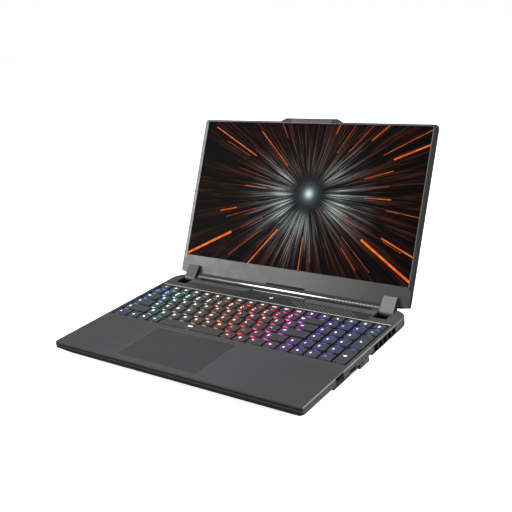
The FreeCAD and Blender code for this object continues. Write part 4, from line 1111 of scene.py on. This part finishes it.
# --------------------------------------------------------------- the studio
# name, place, target and size in metres, power in watts
LAMPS = [
    ("soft_left", (-1.60, -1.15, 0.90), (0, 0.05, 0.08), (0.9, 0.9), 27),
    ("soft_top", (0.1, -0.1, 1.9), (0, 0, 0), (1.8, 1.4), 26),
    ("soft_right", (1.6, 0.2, 0.9), (0, 0, 0.05), (1.2, 1.0), 8),
    ("low_right", (1.5, 0.30, 0.28), (0.17, 0, 0.01), (0.9, 0.4), 15),
    ("rear_right", (0.66, 0.42, 0.36), (0.17, 0.09, 0.02), (0.3, 0.3), 2.2),
]


def lamp(name, place, target, size, power):
    light = bpy.data.lights.new(name, "AREA")
    light.shape, light.energy = "RECTANGLE", power
    light.size, light.size_y = size
    obj = bpy.data.objects.new(name, light)
    obj.location = place
    obj.rotation_euler = (Vector(target) - Vector(place)).to_track_quat("-Z", "Y").to_euler()
    obj.visible_camera = False
    scene.collection.objects.link(obj)


def studio_world():
    """Plain white to the camera; for lighting, a glow that grows towards the top."""
    world = bpy.data.worlds.new("studio")
    scene.world = world
    world.use_nodes = True
    tree = world.node_tree
    tree.nodes.clear()
    path, glow, white, mixer, output, coords, axes, height = (
        tree.nodes.new("ShaderNode" + kind) for kind in (
            "LightPath", "Background", "Background", "MixShader", "OutputWorld", "TexCoord",
            "SeparateXYZ", "MapRange"))
    limits = (("From Min", -0.1), ("From Max", 0.9), ("To Min", 0.16), ("To Max", 0.75))
    for key, number in limits:
        height.inputs[key].default_value = number
    glow.inputs["Color"].default_value = white.inputs["Color"].default_value = (1, 1, 1, 1)
    white.inputs["Strength"].default_value = 1.0
    for source, target in (
            (coords.outputs["Generated"], axes.inputs[0]),
            (axes.outputs[2], height.inputs["Value"]),
            (height.outputs[0], glow.inputs["Strength"]),
            (path.outputs["Is Camera Ray"], mixer.inputs[0]),
            (glow.outputs[0], mixer.inputs[1]),
            (white.outputs[0], mixer.inputs[2]),
            (mixer.outputs[0], output.inputs[0])):
        tree.links.new(source, target)


def pale_floor():
    """Floor that looks nearly white to the camera but throws little light back."""
    half = 4
    mesh = bpy.data.meshes.new("floor")
    corners = [(x, y, 0) for x, y in bar(-half, -half, half, half)]
    mesh.from_pydata(corners, [], [(0, 1, 2, 3)])
    floor = bpy.data.objects.new("floor", mesh)
    scene.collection.objects.link(floor)
    mat = Shader("floor_pale")
    seen = Value(mat, mat.new("LightPath").outputs["Is Camera Ray"])
    pale = mat.mix(mat.noise(0.01), (0.93, 0.93, 0.93), (0.95, 0.95, 0.95))
    mesh.materials.append(mat.surface(mat.mix(seen, (0.16, 0.16, 0.16), pale), 0.9, spec=0,
                                      emit=(1, 1, 1), power=seen * 0.72))


def add_camera():
    """Camera at the front right, looking down at the laptop and rolled a little."""
    turn, rise, roll = math.radians(37.94), math.radians(19.88), math.radians(-6.63)
    place = (0.5571, -0.6500, 0.4126)
    back = Vector((math.sin(turn) * math.cos(rise), -math.cos(turn) * math.cos(rise),
                   math.sin(rise)))
    level = Vector((0, 0, 1)).cross(back).normalized()
    upright = back.cross(level)
    right = level * math.cos(roll) + upright * math.sin(roll)
    up = upright * math.cos(roll) - level * math.sin(roll)
    camera = bpy.data.objects.new("camera", bpy.data.cameras.new("camera"))
    camera.data.lens, camera.data.sensor_width = 55.12, 36.0
    camera.data.clip_start, camera.data.clip_end = 0.02, 50.0
    camera.matrix_world = Matrix((*zip(right, up, back, place), (0, 0, 0, 1)))
    scene.collection.objects.link(camera)
    scene.camera = camera


for row in LAMPS:
    lamp(*row)
studio_world()
pale_floor()
scene.view_settings.view_transform = "Standard"
scene.view_settings.look = "None"
scene.view_settings.exposure = 0.0
scene.view_settings.gamma = 1.0
add_camera()

bpy.context.view_layer.update()
